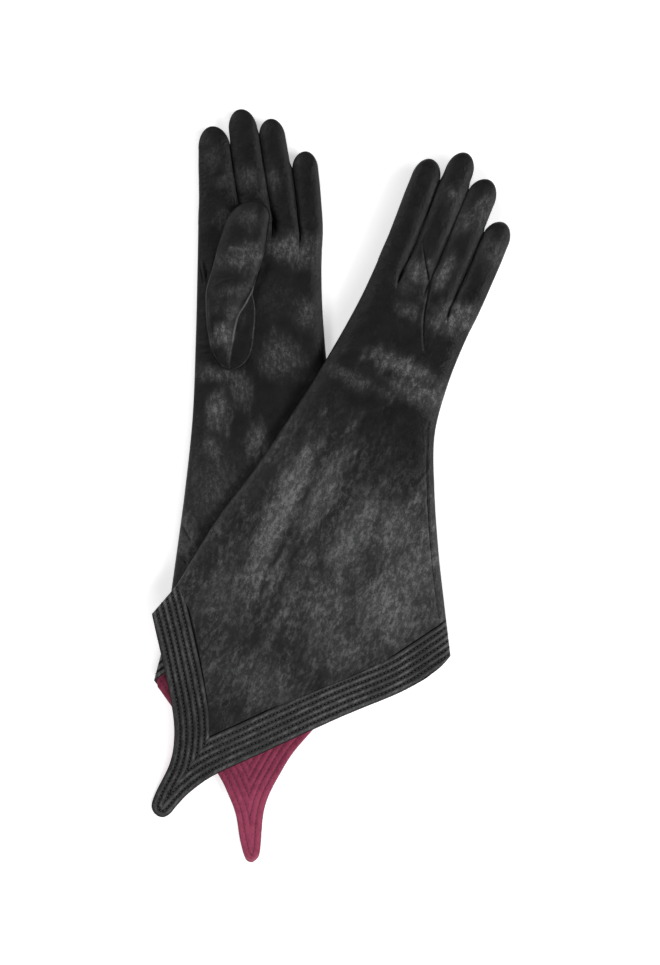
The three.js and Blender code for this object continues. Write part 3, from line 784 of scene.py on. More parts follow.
def band_face(glove, side, rise):
    """The outer face of the quilted band, its ridges from 0 to 1, and its hem's run at each column."""
    _, band, width = hand_surface(glove)
    t = np.linspace(0, BAND_END if glove["palm_up"] else 1, BAND_ROWS)
    s, height = rolled_columns(BAND_COLUMNS, EDGE_ROLL / width(np.ones(1))[0])
    s, height = np.repeat(s[None], BAND_ROWS, 0), np.repeat(height[None], BAND_ROWS, 0)
    uv = band(side, s, np.repeat(t[:, None], BAND_COLUMNS, 1))
    share = quilt_share(glove, side, uv[..., 0], uv[..., 1])
    along = np.repeat(run_along(uv[-1])[None], BAND_ROWS, 0)
    ridges = channel_relief(share, along, rise) - GROOVE_DEPTH
    return finish_face(glove, side, uv, height, ridges), ridge_at(share), along


def thumb_hole(uvw):
    """The squares of a grid that the thumb's oval opening takes out."""
    u, v = uvw[..., 0] / MM - THUMB_PIVOT[0], uvw[..., 1] / MM - THUMB_PIVOT[1]
    inside = (u / THUMB_HOLE[0]) ** 2 + (v / THUMB_HOLE[1]) ** 2 < 1
    return inside[:-1, :-1] & inside[1:, :-1] & inside[:-1, 1:] & inside[1:, 1:]


def channel_rise(glove, side):
    """The quilting stands up where it shows, and is pressed flatter where it lies on something."""
    return CHANNEL_RISE if is_seen(glove, side) and not glove["palm_up"] else CHANNEL_RISE * HIDDEN_RISE


def skin_of(glove, finishes):
    """The palm-up glove's leather is darker, and gets less painted sheen towards the cuff, than the other's.
    """
    return finishes["dark_leather" if glove["palm_up"] else "leather"]


def add_hand(glove, finishes):
    """Both panels of the hand and cuff, both quilted bands, and the lining sleeve."""
    pieces = []
    for side in ("back", "palm"):
        key = f"{glove['name']}_{side}"
        face = hand_face(glove, side)
        hole = thumb_hole(face) if side == "palm" else None
        skin = skin_of(glove, finishes)
        pieces.append(add_sheet(glove, f"{side}_panel", with_inside(face, LEATHER), skin, key, dropped=hole))
        band, ridge, along = band_face(glove, side, channel_rise(glove, side))
        # Painted highlights along the ridge tops, in stretches, and painted shade in the grooves.
        ridge_highlight = mix(*SHINE_RANGE, speckle(along, ridge * 0, SHINE_LENGTH, SHINE_SEED) / 2 + 0.5)
        pieces.append(add_sheet(glove, f"{side}_band", with_inside(band, LEATHER), finishes["quilted"],
                                wear_and_sheen=ridge ** RIDGE_SHINE * ridge_highlight, groove_shade=(1 - ridge) ** GROOVE_FALL))
    pieces.append(add_hand_lining(glove, finishes))
    for piece in pieces:
        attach(piece, f"{glove['name']}_glove")


def lining_face(glove, side):
    """The outer face of the lining inside one panel and its band, and its ridges from 0 to 1."""
    hand, band, width = hand_surface(glove)
    last = 1 if glove["palm_up"] else LINING_END
    t = np.concatenate([np.linspace(LINING_START, 1, LINING_ROWS), 1 + np.linspace(0, last, BAND_ROWS)[1:]])
    rows = []
    for value in t:
        wide = width(np.array([min(value, 1)]))[0]
        s, height = rolled_columns(LINING_COLUMNS, EDGE_ROLL / wide)
        s = mix(LINING_SIDE / wide, 1 - LINING_SIDE / wide, s)
        down = np.full(LINING_COLUMNS, value)
        uv = hand(side, s, down) if value <= 1 else band(side, s, down - 1)
        rows.append(np.concatenate([uv, height[:, None]], axis=1))
    face = np.stack(rows)
    u, v, height = face[..., 0], face[..., 1], face[..., 2]
    in_band = (t > 1)[:, None] & np.ones(u.shape, bool)
    share = quilt_share(glove, side, u, v)
    along = run_along(face[-1, :, :2])[None] + u * 0
    ridges = channel_relief(share, along, LINING_CHANNEL_RISE) * in_band
    quilting = ridges * smooth(height, *LINING_QUILT_FADE)
    relief = soft_relief(glove, side, u, v) * smooth(height, *RELIEF_FADE)
    rise = (HALF - LINING_DEPTH) * height + relief - GROOVE_DEPTH - quilting
    return lifted(side, u, v, rise), np.where(in_band, ridge_at(share), 1)


def add_hand_lining(glove, finishes):
    """The lining sleeve of the hand and cuff, quilted with the bands."""
    (back, back_ridge), (palm, palm_ridge) = (lining_face(glove, side) for side in ("back", "palm"))
    ring = np.concatenate([back, palm[:, -2:0:-1]], axis=1)
    ridge = np.concatenate([back_ridge, palm_ridge[:, -2:0:-1]], axis=1)
    # The last rows along the folded rim get a painted highlight, and the quilting's grooves get painted
    # shade.
    rim = np.zeros(ridge.shape)
    rim[-RIM_ROWS:] = 1
    return add_sheet(glove, "hand_lining", with_inside(ring, LINING, True), finishes["lining"],
                     wraps=True, wear_and_sheen=rim, groove_shade=1 - ridge)


# ---- Finger stalls ----


def seam_angles(share):
    """The fourchette's half angle along a finger: none at the web and the tip, widest past the fold line."""
    angle = mix(*GUSSET_ANGLES, smooth(share, FOLD_SHARE, GUSSET_NARROWED))
    return np.radians(angle * smooth(share, 0, FOLD_SHARE) * (1 - smooth(share, *GUSSET_END)))


def finger_sides(glove, k):
    """The centre line's direction, the half width at the tip and both side lines of a finger."""
    base, tip, (half_base, half_tip) = glove["fingers"][FINGER_NAMES[k]]
    a, b, c = glove["front"]
    on_fold = lambda u: (u, a + b * u + c * u * u)
    start, end = np.array(on_fold(base)), np.array(tip, float)
    ahead = (end - start) / np.linalg.norm(end - start)
    across = np.array([ahead[1], -ahead[0]])
    cap = end - ahead * half_tip * CAP_LENGTH
    sides = []
    for sign, web in ((-1, glove["web"][k]), (1, glove["web"][k + 1])):
        points = [web, on_fold(base + sign * half_base), tuple(cap + sign * across * half_tip)]
        sides.append(lambda share, line=straight(points), bow=curve(points): (line(share) + bow(share)) / 2)
    return ahead, half_tip, sides


def slit_gap(glove, k):
    """Half the gap between finger k and the next one, as a function of v. It ends at the shorter tip."""
    if k not in range(len(FINGER_NAMES) - 1):
        return lambda v: v * 0
    shares = np.linspace(0, 1, SLIT_SAMPLES)
    _, near_half, (_, own) = finger_sides(glove, k)
    _, far_half, (next_side, _) = finger_sides(glove, k + 1)
    own, other = own(shares), next_side(shares)
    end = min(own[-1, 1] + near_half * MM * SLIT_END, other[-1, 1] + far_half * MM * SLIT_END)

    def half_gap(v):
        gap = np.interp(v, other[:, 1], other[:, 0]) - np.interp(v, own[:, 1], own[:, 0])
        closing = 1 - smooth(v, end - SLIT_CLOSING[0], end + SLIT_CLOSING[1])
        return np.clip(gap / 2 + GUSSET_OVERLAP, 0, WIDEST_GUSSET) * closing

    return half_gap


def finger_rings(glove, finger):
    """A finger's skin as a function of row share, cap angle, section angle and depth in from outside."""
    k = FINGER_NAMES.index(finger)
    ahead, half_tip, (index_side, little_side) = finger_sides(glove, k)
    to_index, to_little = slit_gap(glove, k - 1), slit_gap(glove, k)

    def at(share, cap_angle, angle, depth):
        x, z = section(angle)
        shrink = np.cos(cap_angle)
        first, second = index_side(share), little_side(share)
        middle, half = (first + second) / 2, (second - first) / 2
        length = np.linalg.norm(half, axis=-1)
        swell = FINGER_SWELL * smooth(share, *SWELL_START) * (1 - smooth(share, *SWELL_END))
        gap = np.where(x < 0, to_index(middle[..., 1]), to_little(middle[..., 1]))
        bulge = np.maximum(gap - swell, 0) * hump(z, GUSSET_BULGE_HEIGHT) * smooth(share, *BULGE_START)
        wide = (length + swell + bulge - depth) / length
        reach = (half_tip * CAP_LENGTH * MM - depth) * np.sin(cap_angle)
        uv = middle + half * (x * shrink * wide)[..., None] + ahead * reach[..., None]
        return uv, (HALF - depth) * z * shrink ** CAP_FLATNESS

    return at


def finger_rows():
    """Row shares along the straight part, then cap angles round the tip."""
    share = np.concatenate([np.linspace(0, 1, FINGER_ROWS), np.ones(CAP_ROWS)])
    cap = np.concatenate([np.zeros(FINGER_ROWS), cap_angles()])
    return share, cap


def cap_angles():
    return np.radians(np.linspace(CAP_START, CAP_POLE, CAP_ROWS))


def finger_strip(glove, finger, borders, steps, depths, rows=slice(None)):
    """Faces of one strip at two depths. borders gives both borders' section angles for each row."""
    at = finger_rings(glove, finger)
    share, cap = (values[rows, None] for values in finger_rows())
    pace = np.linspace(0, 1, steps + 1)[None]
    first, last = borders
    angle = mix(first(share), last(share), pace)
    share, cap = share + pace * 0, cap + pace * 0
    seam = hump(np.minimum(pace, 1 - pace), SEAM_DIP_WIDTH)
    dip = SEAM_DIP * seam * smooth(share, *SEAM_DIP_START) * np.cos(cap)
    faces = []
    for depth in depths:
        uv, height = at(share, cap, angle, depth)
        u, v = uv[..., 0], uv[..., 1]
        relief = np.where(height > 0, soft_relief(glove, "back", u, v), soft_relief(glove, "palm", u, v))
        relief = relief * smooth(np.abs(height) / HALF, *RELIEF_FADE) - dip
        faces.append(np.stack([u, v, HALF + height + np.sign(height) * relief], -1))
    return faces


def blend_finger(glove, finger, obj):
    """Bakes the piece's place in the frame into its mesh."""
    ahead, _, _ = finger_sides(glove, FINGER_NAMES.index(finger))
    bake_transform(obj)


def add_finger(glove, finger, finishes):
    """A finger stall: its back and palm strips, the fourchettes at its slits, and its lining."""
    k = FINGER_NAMES.index(finger)
    gussets = {"index": k > 0, "little": k < len(FINGER_NAMES) - 1}
    seam = lambda share, side: seam_angles(share) if gussets[side] else share * 0
    strips = {
        "back": (lambda s: math.pi - seam(s, "index"), lambda s: seam(s, "little")),
        "palm": (lambda s: math.pi + seam(s, "index"), lambda s: 2 * math.pi - seam(s, "little")),
    }
    pieces = []
    for side, borders in strips.items():
        faces = finger_strip(glove, finger, borders, columns_of(glove, side), (0, LEATHER))
        key = f"{glove['name']}_{side}"
        pieces.append(add_sheet(glove, f"{finger}_{side}", faces, skin_of(glove, finishes), key))
    for side in [side for side, has in gussets.items() if has]:
        middle = math.pi if side == "index" else 0
        borders = (lambda s: middle - seam_angles(s), lambda s: middle + seam_angles(s))
        faces = finger_strip(glove, finger, borders, GUSSET_COLUMNS, (GUSSET_DEPTH, LEATHER), GUSSET_ROWS)
        pieces.append(add_sheet(glove, f"{finger}_fourchette_{side}_side", faces, finishes["leather"]))
    borders = (lambda s: s * 0, lambda s: s * 0 + 2 * math.pi * (1 - 1 / LINING_SIDES))
    faces = finger_strip(glove, finger, borders, LINING_SIDES - 1, LINING_DEPTHS, FINGER_LINING_ROWS)
    pieces.append(add_sheet(glove, f"{finger}_lining", faces, finishes["lining"], wraps=True))
    for piece in pieces:
        blend_finger(glove, finger, piece)


# ---- Thumbs ----


def thumb_turned(glove, uv):
    """Turns thumb points round the thumb's hinge, for a thumb that is tucked under the hand."""
    pivot = np.array(THUMB_PIVOT) * MM
    return pivot + turned(uv - pivot, glove["thumb_turn"])


def smooth_row(table, column, v):
    """A column of the thumb's table as a smooth function of v."""
    slopes = np.gradient(table[:, column], table[:, 0])
    i = np.clip(np.searchsorted(table[:, 0], v, side="right") - 1, 0, len(table) - 2)
    gap = table[i + 1, 0] - table[i, 0]
    f = (v - table[i, 0]) / gap
    start, end = table[i, column], table[i + 1, column]
    return (
        (2 * f**3 - 3 * f**2 + 1) * start + (f**3 - 2 * f**2 + f) * gap * slopes[i]
        + (3 * f**2 - 2 * f**3) * end + (f**3 - f**2) * gap * slopes[i + 1]
    )


def thumb_rows(first_v):
    """The thumb's rows from first_v to its tip: v, cap angle, middle, half width, gusset's left edge."""
    table = np.array(THUMB_ROWS, float)
    oval_v, oval_length = THUMB_OVAL
    rows = np.linspace(max(first_v, oval_v), table[-1, 0], THUMB_LENGTH_ROWS)
    if first_v < oval_v:
        below = np.linspace(math.radians(OVAL_START), math.pi / 2, OVAL_ROWS)[:-1]
        rows = np.concatenate([oval_v - oval_length * np.cos(below), rows])
    v = np.concatenate([rows, np.full(CAP_ROWS, table[-1, 0])])
    cap = np.concatenate([rows * 0, cap_angles()])
    left, right, own = (smooth_row(table, k, np.maximum(v, table[0, 0])) for k in (1, 2, 3))
    rounding = np.sqrt(1 - np.clip((oval_v - v) / oval_length, 0, 1) ** 2)
    middle = (left + right) / 2
    own = middle + (own - middle) * rounding
    return (values[:, None] for values in (v, cap, middle, (right - left) / 2 * rounding, own))


def thumb_section(part):
    """The thumb's columns: place across, from -1 to 1, and height, round its outer or its inner half."""
    if part == "outer":
        return section(np.linspace(math.pi, 2 * math.pi, THUMB_COLUMNS + 1))
    return section(np.linspace(0, math.pi, THUMB_COLUMNS // 2 + 1))


def thumb_outer_rise(glove, u, v, z, half_width, middle, own):
    """How far the outer half stands up before its relief: a dome, and a flat gusset to the right of it."""
    full = mix(*THUMB_HEIGHTS, smooth(v, *THUMB_HEIGHT_STRETCH)) * MM
    top = np.maximum(full - thumb_under(v), THINNEST_TOP)
    left, right = middle - half_width, middle + half_width
    own_half = np.maximum(own - left, NARROWEST) / 2
    dome = np.clip(1 - np.abs((u - left) / own_half - 1) ** SQUARENESS, 0, 1) ** (1 / SQUARENESS)
    gusset = -z * np.minimum(GUSSET_RISE, top)
    return np.where(right - own > GUSSET_FROM, np.maximum(dome * top, gusset), -z * top)


def thumb_under(v):
    """How far the thumb's underside lies below its seam, once the thumb has left the palm."""
    return HALF * smooth(v, *THUMB_UNDERSIDE_STRETCH)


def thumb_faces(glove, part, first_v, depths):
    """Faces of the thumb's outer half, or of its inner half, at two depths, each with its unturned places."""
    v, cap, middle, half_width, own = thumb_rows(first_v)
    x, z = thumb_section(part)
    _, cap_left, cap_right, _ = THUMB_ROWS[-1]
    ahead = (THUMB_TIP[0] - (cap_left + cap_right) / 2, THUMB_TIP[1] - THUMB_ROWS[-1][0])
    under = thumb_under(v)
    faces = []
    for depth in depths:
        half = np.maximum(half_width - depth / MM, NARROWEST)
        u = middle + x * half * np.cos(cap) + ahead[0] * np.sin(cap)
        v_all = v + (ahead[1] - depth / MM) * np.sin(cap) + u * 0
        if part == "inner":
            rise = -np.maximum(z * np.maximum(under, THINNEST_UNDERSIDE) - depth, 0)
        else:
            rise = thumb_outer_rise(glove, u, v, z, half_width, middle, own)
            relief = thumb_relief(glove, u * MM, v_all * MM) * smooth(rise, *THUMB_RELIEF_FADE)
            raised = rise + relief + welt(half_width * (1 - np.abs(x)), v)
            rise = np.maximum(raised, depth) - depth
        w = -THUMB_GAP - under - rise * np.cos(cap) ** CAP_FLATNESS
        plain = np.stack([u * MM, v_all * MM], -1)
        faces.append((np.concatenate([thumb_turned(glove, plain), w[..., None]], -1), plain))
    return faces


def thumb_marks(first_v, plain):
    """Where the outer half gets a painted highlight, along its fold and welt, and how much painted shade the
    gusset beside the fold gets.
    """
    v, _, middle, half_width, own = thumb_rows(first_v)
    x, _ = thumb_section("outer")
    u = plain[..., 0] / MM
    apart = smooth(middle + half_width - own, *GUSSET_APART)
    dark = GUSSET_SHADE * smooth(u - own, *GUSSET_SHADE_EDGE) * apart
    shown = smooth(v, *FOLD_SHINE_START) * (1 - smooth(v, *FOLD_SHINE_END))
    fold = hump(u - own + FOLD_SHINE_INSET, SHINE_WIDTH) * shown
    from_welt = half_width * (1 - np.abs(x)) - THUMB_WELT["inside"]
    seam = hump(from_welt, SHINE_WIDTH) * (1 - smooth(v, *WELT_SHINE_END)) * (u > middle - WELT_SHINE_LEFT)
    return np.maximum(fold * FOLD_SHINE, seam * WELT_SHINE), dark * (1 - seam)


def welt(inside, v):
    """The raised welt along the oval's seam, given the distance inside the seam in millimetres."""
    return THUMB_WELT["rise"] * MM * hump(inside - THUMB_WELT["inside"], THUMB_WELT["half_width"]) * (
        1 - smooth(v, *THUMB_WELT["ends"]))


def thumb_relief(glove, u, v):
    """The swells, wrinkles and creases of the thumb that the photograph shows."""
    if not glove["palm_up"]:
        return u * 0
    creases, _ = crease_relief("left_thumb", u, v)
    return (layered(u, v, THUMB_RELIEF, THUMB_SEED) - THUMB_SINK) * MM + creases


def add_thumb(glove, finishes):
    """A thumb: its outer half with the oval base, its inner half against the palm, and its lining."""
    key = f"{glove['name']}_thumb"
    (outer, plain), (under_outer, under_plain) = thumb_faces(glove, "outer", 0, (0, LEATHER))
    # Painted highlights along the fold and welt, painted shade in the gusset, and rubbed patches greyer with
    # wear and painted sheen.
    edge_highlight, dark = thumb_marks(0, under_plain)
    wear_and_sheen = np.maximum(wear_and_sheen_at(key, plain[..., 0], plain[..., 1]) * (1 - dark), edge_highlight)
    crease_shading = np.maximum(crease_relief(key, plain[..., 0], plain[..., 1])[1], dark)
    leather = finishes["leather"]
    pieces = [add_sheet(glove, "thumb_outer", (outer, under_outer), leather, wear_and_sheen=wear_and_sheen, groove_shade=crease_shading)]
    inner = [face for face, _ in thumb_faces(glove, "inner", THUMB_UNDERSIDE_FROM, (0, LEATHER))]
    pieces.append(add_sheet(glove, "thumb_inner", inner, leather))
    far, near = (thumb_faces(glove, part, THUMB_UNDERSIDE_FROM, LINING_DEPTHS) for part in ("outer", "inner"))
    rings = [np.concatenate([a[THUMB_LINING_ROWS, ::2], b[THUMB_LINING_ROWS, 1:-1]], axis=1)
             for (a, _), (b, _) in zip(far, near)]
    pieces.append(add_sheet(glove, "thumb_lining", rings, finishes["lining"], wraps=True))
    for piece in pieces:
        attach(piece, key)


# ---- Stitches ----


def capsule_parts(centres, ways, ups):
    """Short thread stitches as closed four-sided faces: one capsule at each centre."""
    third = np.cross(ways, ups)
    points = []
    for place, width in CAPSULE_RINGS:
        for turn in np.arange(CAPSULE_SIDES) * 2 * math.pi / CAPSULE_SIDES:
            offset = (third * math.cos(turn) + ups * math.sin(turn)) * STITCH_RADIUS * width
            points.append(centres + ways * STITCH_LENGTH * place + offset)
    points = np.stack(points, 1)
    faces = []
    for start in range(0, (len(CAPSULE_RINGS) - 1) * CAPSULE_SIDES, CAPSULE_SIDES):
        for k in range(CAPSULE_SIDES):
            after = (k + 1) % CAPSULE_SIDES
            faces.append((start + k, start + after, start + CAPSULE_SIDES + after, start + CAPSULE_SIDES + k))
    for start in (0, (len(CAPSULE_RINGS) - 1) * CAPSULE_SIDES):
        for k in (0, 2):
            faces.append((start + k, start + k + 1, start + k + 2, start + (k + 3) % CAPSULE_SIDES))
    faces = np.array(faces)[None] + (np.arange(len(centres)) * points.shape[1])[:, None, None]
    return points.reshape(-1, 3), faces.reshape(-1, 4)


def stitches_along(points):
    """Even places and directions along a line of frame points."""
    run = run_along(points)
    at = np.arange(STITCH_PITCH / 2, run[-1], STITCH_PITCH)
    place = lambda distance: np.stack([np.interp(distance, run, points[:, k]) for k in range(3)], -1)
    ways = place(at + STITCH_PITCH * 0.3) - place(at - STITCH_PITCH * 0.3)
    return place(at), ways / np.linalg.norm(ways, axis=1, keepdims=True)


def add_stitches(glove, name, lines, lift, finish):
    """One object that holds the stitches of several seam lines."""
    centres, ways = (np.concatenate(parts) for parts in zip(*(stitches_along(line) for line in lines)))
    centres = centres + np.array([0, 0, lift])
    ups = np.array([0, 0, 1.0]) - ways * ways[:, 2:3]
    ups /= np.linalg.norm(ups, axis=1, keepdims=True)
    material, slot = finish
    obj, _ = mesh_object(f"{glove['name']}_{name}", *capsule_parts(centres, ways, ups))
    obj.data.materials.append(material)
    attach(obj, f"{glove['name']}_glove")


def quilting_rows(glove, face):
    """Lines of frame points along the grooves of a back band's face, at even distances from its hem."""
    guide = quilt_guide(glove, "back")
    run = run_along(guide)
    at = np.linspace(0, run[-1], STITCH_SAMPLES)
    hem = np.stack([np.interp(at, run, guide[:, k]) for k in (0, 1)], -1)
    ways = np.gradient(hem, axis=0)
    ways /= np.linalg.norm(ways, axis=1, keepdims=True)
    inwards = np.stack([-ways[:, 1], ways[:, 0]], -1)
    flat = face.reshape(-1, 3)
    lines = []
    for k in range(1, CHANNELS):
        distance = k * BAND_WIDTH / CHANNELS
        row = hem + inwards * distance
        away, _ = distance_to_line(row[:, 0], row[:, 1], guide / MM)
        gaps = [np.hypot(flat[:, 0] - u, flat[:, 1] - v) for u, v in row]
        near = np.array([int(np.argmin(gap)) for gap in gaps])
        on_band = np.array([gap.min() for gap in gaps]) < STITCH_REACH
        kept = np.flatnonzero((away > distance * CORNER_SHARE) & on_band)
        for part in np.split(kept, np.flatnonzero(np.diff(kept) > 1) + 1):
            if len(part) > SHORTEST_ROW:
                lines.append(placed(glove, np.concatenate([row[part], flat[near[part], 2:]], axis=1)))
    return lines


def add_threads(glove, finishes):
    """The band's rows of black stitches, and the burgundy ones that show inside the palm-up glove's point."""
    band, _, _ = band_face(glove, "back", channel_rise(glove, "back"))
    lift = -STITCH_LIFT if glove["palm_up"] else STITCH_LIFT
    add_stitches(glove, "band_stitches", quilting_rows(glove, band), lift, finishes["thread"])
    if glove["palm_up"]:
        face, _ = lining_face(glove, "back")
        face = face[-BAND_ROWS:] - np.array([0, 0, LINING])
        rows = quilting_rows(glove, face)
        add_stitches(glove, "lining_stitches", rows, STITCH_LIFT, finishes["lining_thread"])


# ---- Materials: colours are linear red, green, blue and alpha, the darker before the paler ----

# The paler colour of each nappa is for its greyer places: wear with painted sheen.
NAPPA = ((0.004, 0.004, 0.0045, 1), (0.12, 0.12, 0.122, 1))
DARK_NAPPA = ((0.0035, 0.0035, 0.004, 1), (0.1, 0.1, 0.102, 1))
QUILTED_NAPPA = ((0.006, 0.006, 0.0065, 1), (0.1, 0.1, 0.1, 1))
# Near black painted shade for creases, grooves and the thumb's gusset.
CREASE_SHADE_BLACK = (0.002, 0.002, 0.002, 1)
BURGUNDY = ((0.22, 0.033, 0.07, 1), (0.34, 0.058, 0.115, 1))
# The suede's painted shade in the quilting's grooves, and its painted highlight along the folded rim.
BURGUNDY_GROOVE_SHADE = (0.08, 0.01, 0.026, 1)
BURGUNDY_RIM_HIGHLIGHT = (0.42, 0.12, 0.18, 1)
SHEEN = (0.8, 0.3, 0.42, 1)
BLACK_THREAD = ((0.03, 0.03, 0.031, 1), (0.07, 0.07, 0.071, 1))
BURGUNDY_THREAD = ((0.16, 0.02, 0.05, 1), (0.3, 0.055, 0.11, 1))


class Graph:
    """Short calls for building a material from nodes."""

    def __init__(self, name):
        self.material = bpy.data.materials.new(name)
        self.material.use_nodes = True
        self.tree = self.material.node_tree
        self.shader = self.tree.nodes["Principled BSDF"]

    def node(self, kind, **inputs):
        made = self.tree.nodes.new(kind)
        for key, value in inputs.items():
            self.set(made.inputs[key], value)
        return made

    def set(self, socket, value):
        if isinstance(value, bpy.types.NodeSocket):
            self.tree.links.new(value, socket)
        else:
            socket.default_value = value

    def attribute(self, name, output):
        made = self.tree.nodes.new("ShaderNodeAttribute")
        made.attribute_name = name
        return made.outputs[output]

    def scaled(self, vector, scale):
        made = self.tree.nodes.new("ShaderNodeVectorMath")
        made.operation = "MULTIPLY"
        self.set(made.inputs[0], vector)
        made.inputs[1].default_value = scale
        return made.outputs[0]

    def warped(self, vector, size, amount):
        """The vector pushed about by coloured noise."""
        push = self.node("ShaderNodeTexNoise", Vector=vector, Scale=1 / size, Detail=2.0).outputs["Color"]
        made = self.tree.nodes.new("ShaderNodeVectorMath")
        made.operation = "ADD"
        self.set(made.inputs[0], vector)
        self.set(made.inputs[1], self.scaled(push, (amount, amount, amount)))
        return made.outputs[0]

    def noise(self, vector, size, detail=3.0, roughness=0.6):
        inputs = {"Vector": vector, "Scale": 1 / size, "Detail": detail, "Roughness": roughness}
        return self.node("ShaderNodeTexNoise", **inputs).outputs["Fac"]

    def cells(self, vector, size, feature):
        made = self.node("ShaderNodeTexVoronoi", Vector=vector, Scale=1 / size)
        made.feature = feature
        return made.outputs["Distance"]

    def ramp(self, value, low, high, out_low=0.0, out_high=1.0):
        made = self.tree.nodes.new("ShaderNodeMapRange")
        made.interpolation_type = "SMOOTHSTEP"
        self.set(made.inputs["Value"], value)
        for key, number in (("From Min", low), ("From Max", high), ("To Min", out_low), ("To Max", out_high)):
            made.inputs[key].default_value = number
        return made.outputs["Result"]

    def maths(self, operation, a, b):
        made = self.tree.nodes.new("ShaderNodeMath")
        made.operation = operation
        self.set(made.inputs[0], a)
        self.set(made.inputs[1], b)
        return made.outputs[0]

    def colour_mix(self, factor, first, second):
        made = self.tree.nodes.new("ShaderNodeMix")
        made.data_type = "RGBA"
        self.set(made.inputs["Factor"], factor)
        self.set(made.inputs["A"], first)
        self.set(made.inputs["B"], second)
        return made.outputs["Result"]

    def bump(self, height, distance, strength=1.0, normal=None):
        made = self.node("ShaderNodeBump", Height=height, Distance=distance, Strength=strength)
        if normal is not None:
            self.set(made.inputs["Normal"], normal)
        return made.outputs["Normal"]


def leather_material(name, dark, grey, cuff_sheen_strength):
    """Fine-grained nappa: near black, and more crinkled where it is rubbed and towards the cuff. It is greyer
    with wear and painted sheen in the rubbed patches, greyer with painted sheen towards the cuff, and near
    black with painted shade in creases and grooves.
    """
    g = Graph(name)
    pattern = g.attribute("pattern", "Vector")
    wear_and_sheen = g.attribute("wear_and_sheen", "Fac")
    along = g.tree.nodes.new("ShaderNodeSeparateXYZ")
    g.set(along.inputs[0], pattern)
    cuff = g.ramp(g.maths("MULTIPLY", along.outputs["Y"], -1.0), -0.02, 0.06)
    stretched = g.scaled(pattern, (1.0, 0.5, 1.0))
    mottle = g.ramp(g.noise(stretched, 2.6 * MM, 6.0, 0.75), 0.42, 0.66)
    cloud = g.ramp(g.noise(stretched, 11 * MM, 4.0), 0.38, 0.66, 0.15, 1.0)
    wandering = g.warped(pattern, 3 * MM, 1.6 * MM)
    crackle = g.ramp(g.cells(wandering, 2.8 * MM, "DISTANCE_TO_EDGE"), 0.0, 0.09, 0.45, 1.0)
    # Rubbed patches: crackled grey of wear with painted sheen.
    patch_wear_and_sheen = g.maths("MULTIPLY", g.maths("MULTIPLY", wear_and_sheen, crackle), g.maths("ADD", 0.35, mottle))
    # Painted sheen: mottled grey that grows towards the cuff.
    painted_cuff_sheen = g.maths("MULTIPLY", g.maths("MULTIPLY", mottle, cloud), g.maths("MULTIPLY", cuff, cuff_sheen_strength))
    shade = g.maths("MINIMUM", g.maths("ADD", patch_wear_and_sheen, painted_cuff_sheen), 1.0)
    # Painted shade: creases, grooves and the thumb's gusset go towards near black, with less specular.
    crease_shading = g.ramp(g.attribute("groove_shade", "Fac"), 0.15, 0.85)
    flat_colour = g.colour_mix(shade, dark, grey)
    g.set(g.shader.inputs["Base Color"], g.colour_mix(crease_shading, flat_colour, CREASE_SHADE_BLACK))
    patchy = g.noise(pattern, 9 * MM, 3.0)
    g.set(g.shader.inputs["Roughness"], g.ramp(patchy, 0.35, 0.65, 0.32, 0.44))
    gloss = g.ramp(g.maths("ADD", shade, g.maths("MULTIPLY", cuff, 0.3)), 0.0, 1.0, 0.25, 0.7)
    unshaded = g.ramp(crease_shading, 0.0, 1.0, 1.0, 0.05)
    g.set(g.shader.inputs["Specular IOR Level"], g.maths("MULTIPLY", gloss, unshaded))
    pebbles = g.cells(pattern, 0.75 * MM, "SMOOTH_F1")
    pores = g.noise(pattern, 0.4 * MM, 2.0)
    crinkle = g.noise(wandering, 1.9 * MM, 5.0, 0.7)
    crinkling = g.ramp(g.maths("ADD", wear_and_sheen, g.maths("MULTIPLY", cuff, 0.15)), 0.0, 0.8, 0.55, 1.0)
    first = g.bump(crinkle, 0.95 * MM, crinkling)
    second = g.bump(pebbles, 0.1 * MM, 0.4, first)
    g.set(g.shader.inputs["Normal"], g.bump(pores, 0.05 * MM, 0.4, second))
    return g.material


def lining_material():
    """Burgundy suede: matt and brushed, with painted shade in the quilting's grooves and a painted highlight
    along its folded rim.
    """
    g = Graph("burgundy_suede")
    pattern = g.attribute("pattern", "Vector")
    brushed = g.noise(g.scaled(pattern, (1.0, 0.35, 1.0)), 1.4 * MM, 4.0, 0.7)
    cloudy = g.noise(pattern, 14 * MM, 3.0)
    both = g.maths("ADD", g.maths("MULTIPLY", brushed, 0.5), g.maths("MULTIPLY", cloudy, 0.5))
    nap_colour = g.colour_mix(g.ramp(both, 0.38, 0.62), *BURGUNDY)
    # Painted shade in the quilting's grooves.
    groove_shade = g.ramp(g.attribute("groove_shade", "Fac"), 0.35, 1.0, 0.0, 0.8)
    crease_shading = g.colour_mix(groove_shade, nap_colour, BURGUNDY_GROOVE_SHADE)
    # Painted highlight along the folded rim.
    rim = g.maths("MULTIPLY", g.attribute("wear_and_sheen", "Fac"), 0.5)
    g.set(g.shader.inputs["Base Color"], g.colour_mix(rim, crease_shading, BURGUNDY_RIM_HIGHLIGHT))
    g.set(g.shader.inputs["Roughness"], g.ramp(brushed, 0.3, 0.7, 0.82, 0.95))
    g.shader.inputs["Specular IOR Level"].default_value = 0.15
    g.shader.inputs["Sheen Weight"].default_value = 0.15
    g.shader.inputs["Sheen Roughness"].default_value = 0.5
    g.shader.inputs["Sheen Tint"].default_value = SHEEN
    nap = g.noise(pattern, 0.35 * MM, 2.0)
    first = g.bump(brushed, 0.25 * MM, 0.5)
    g.set(g.shader.inputs["Normal"], g.bump(nap, 0.1 * MM, 0.6, first))
    return g.material


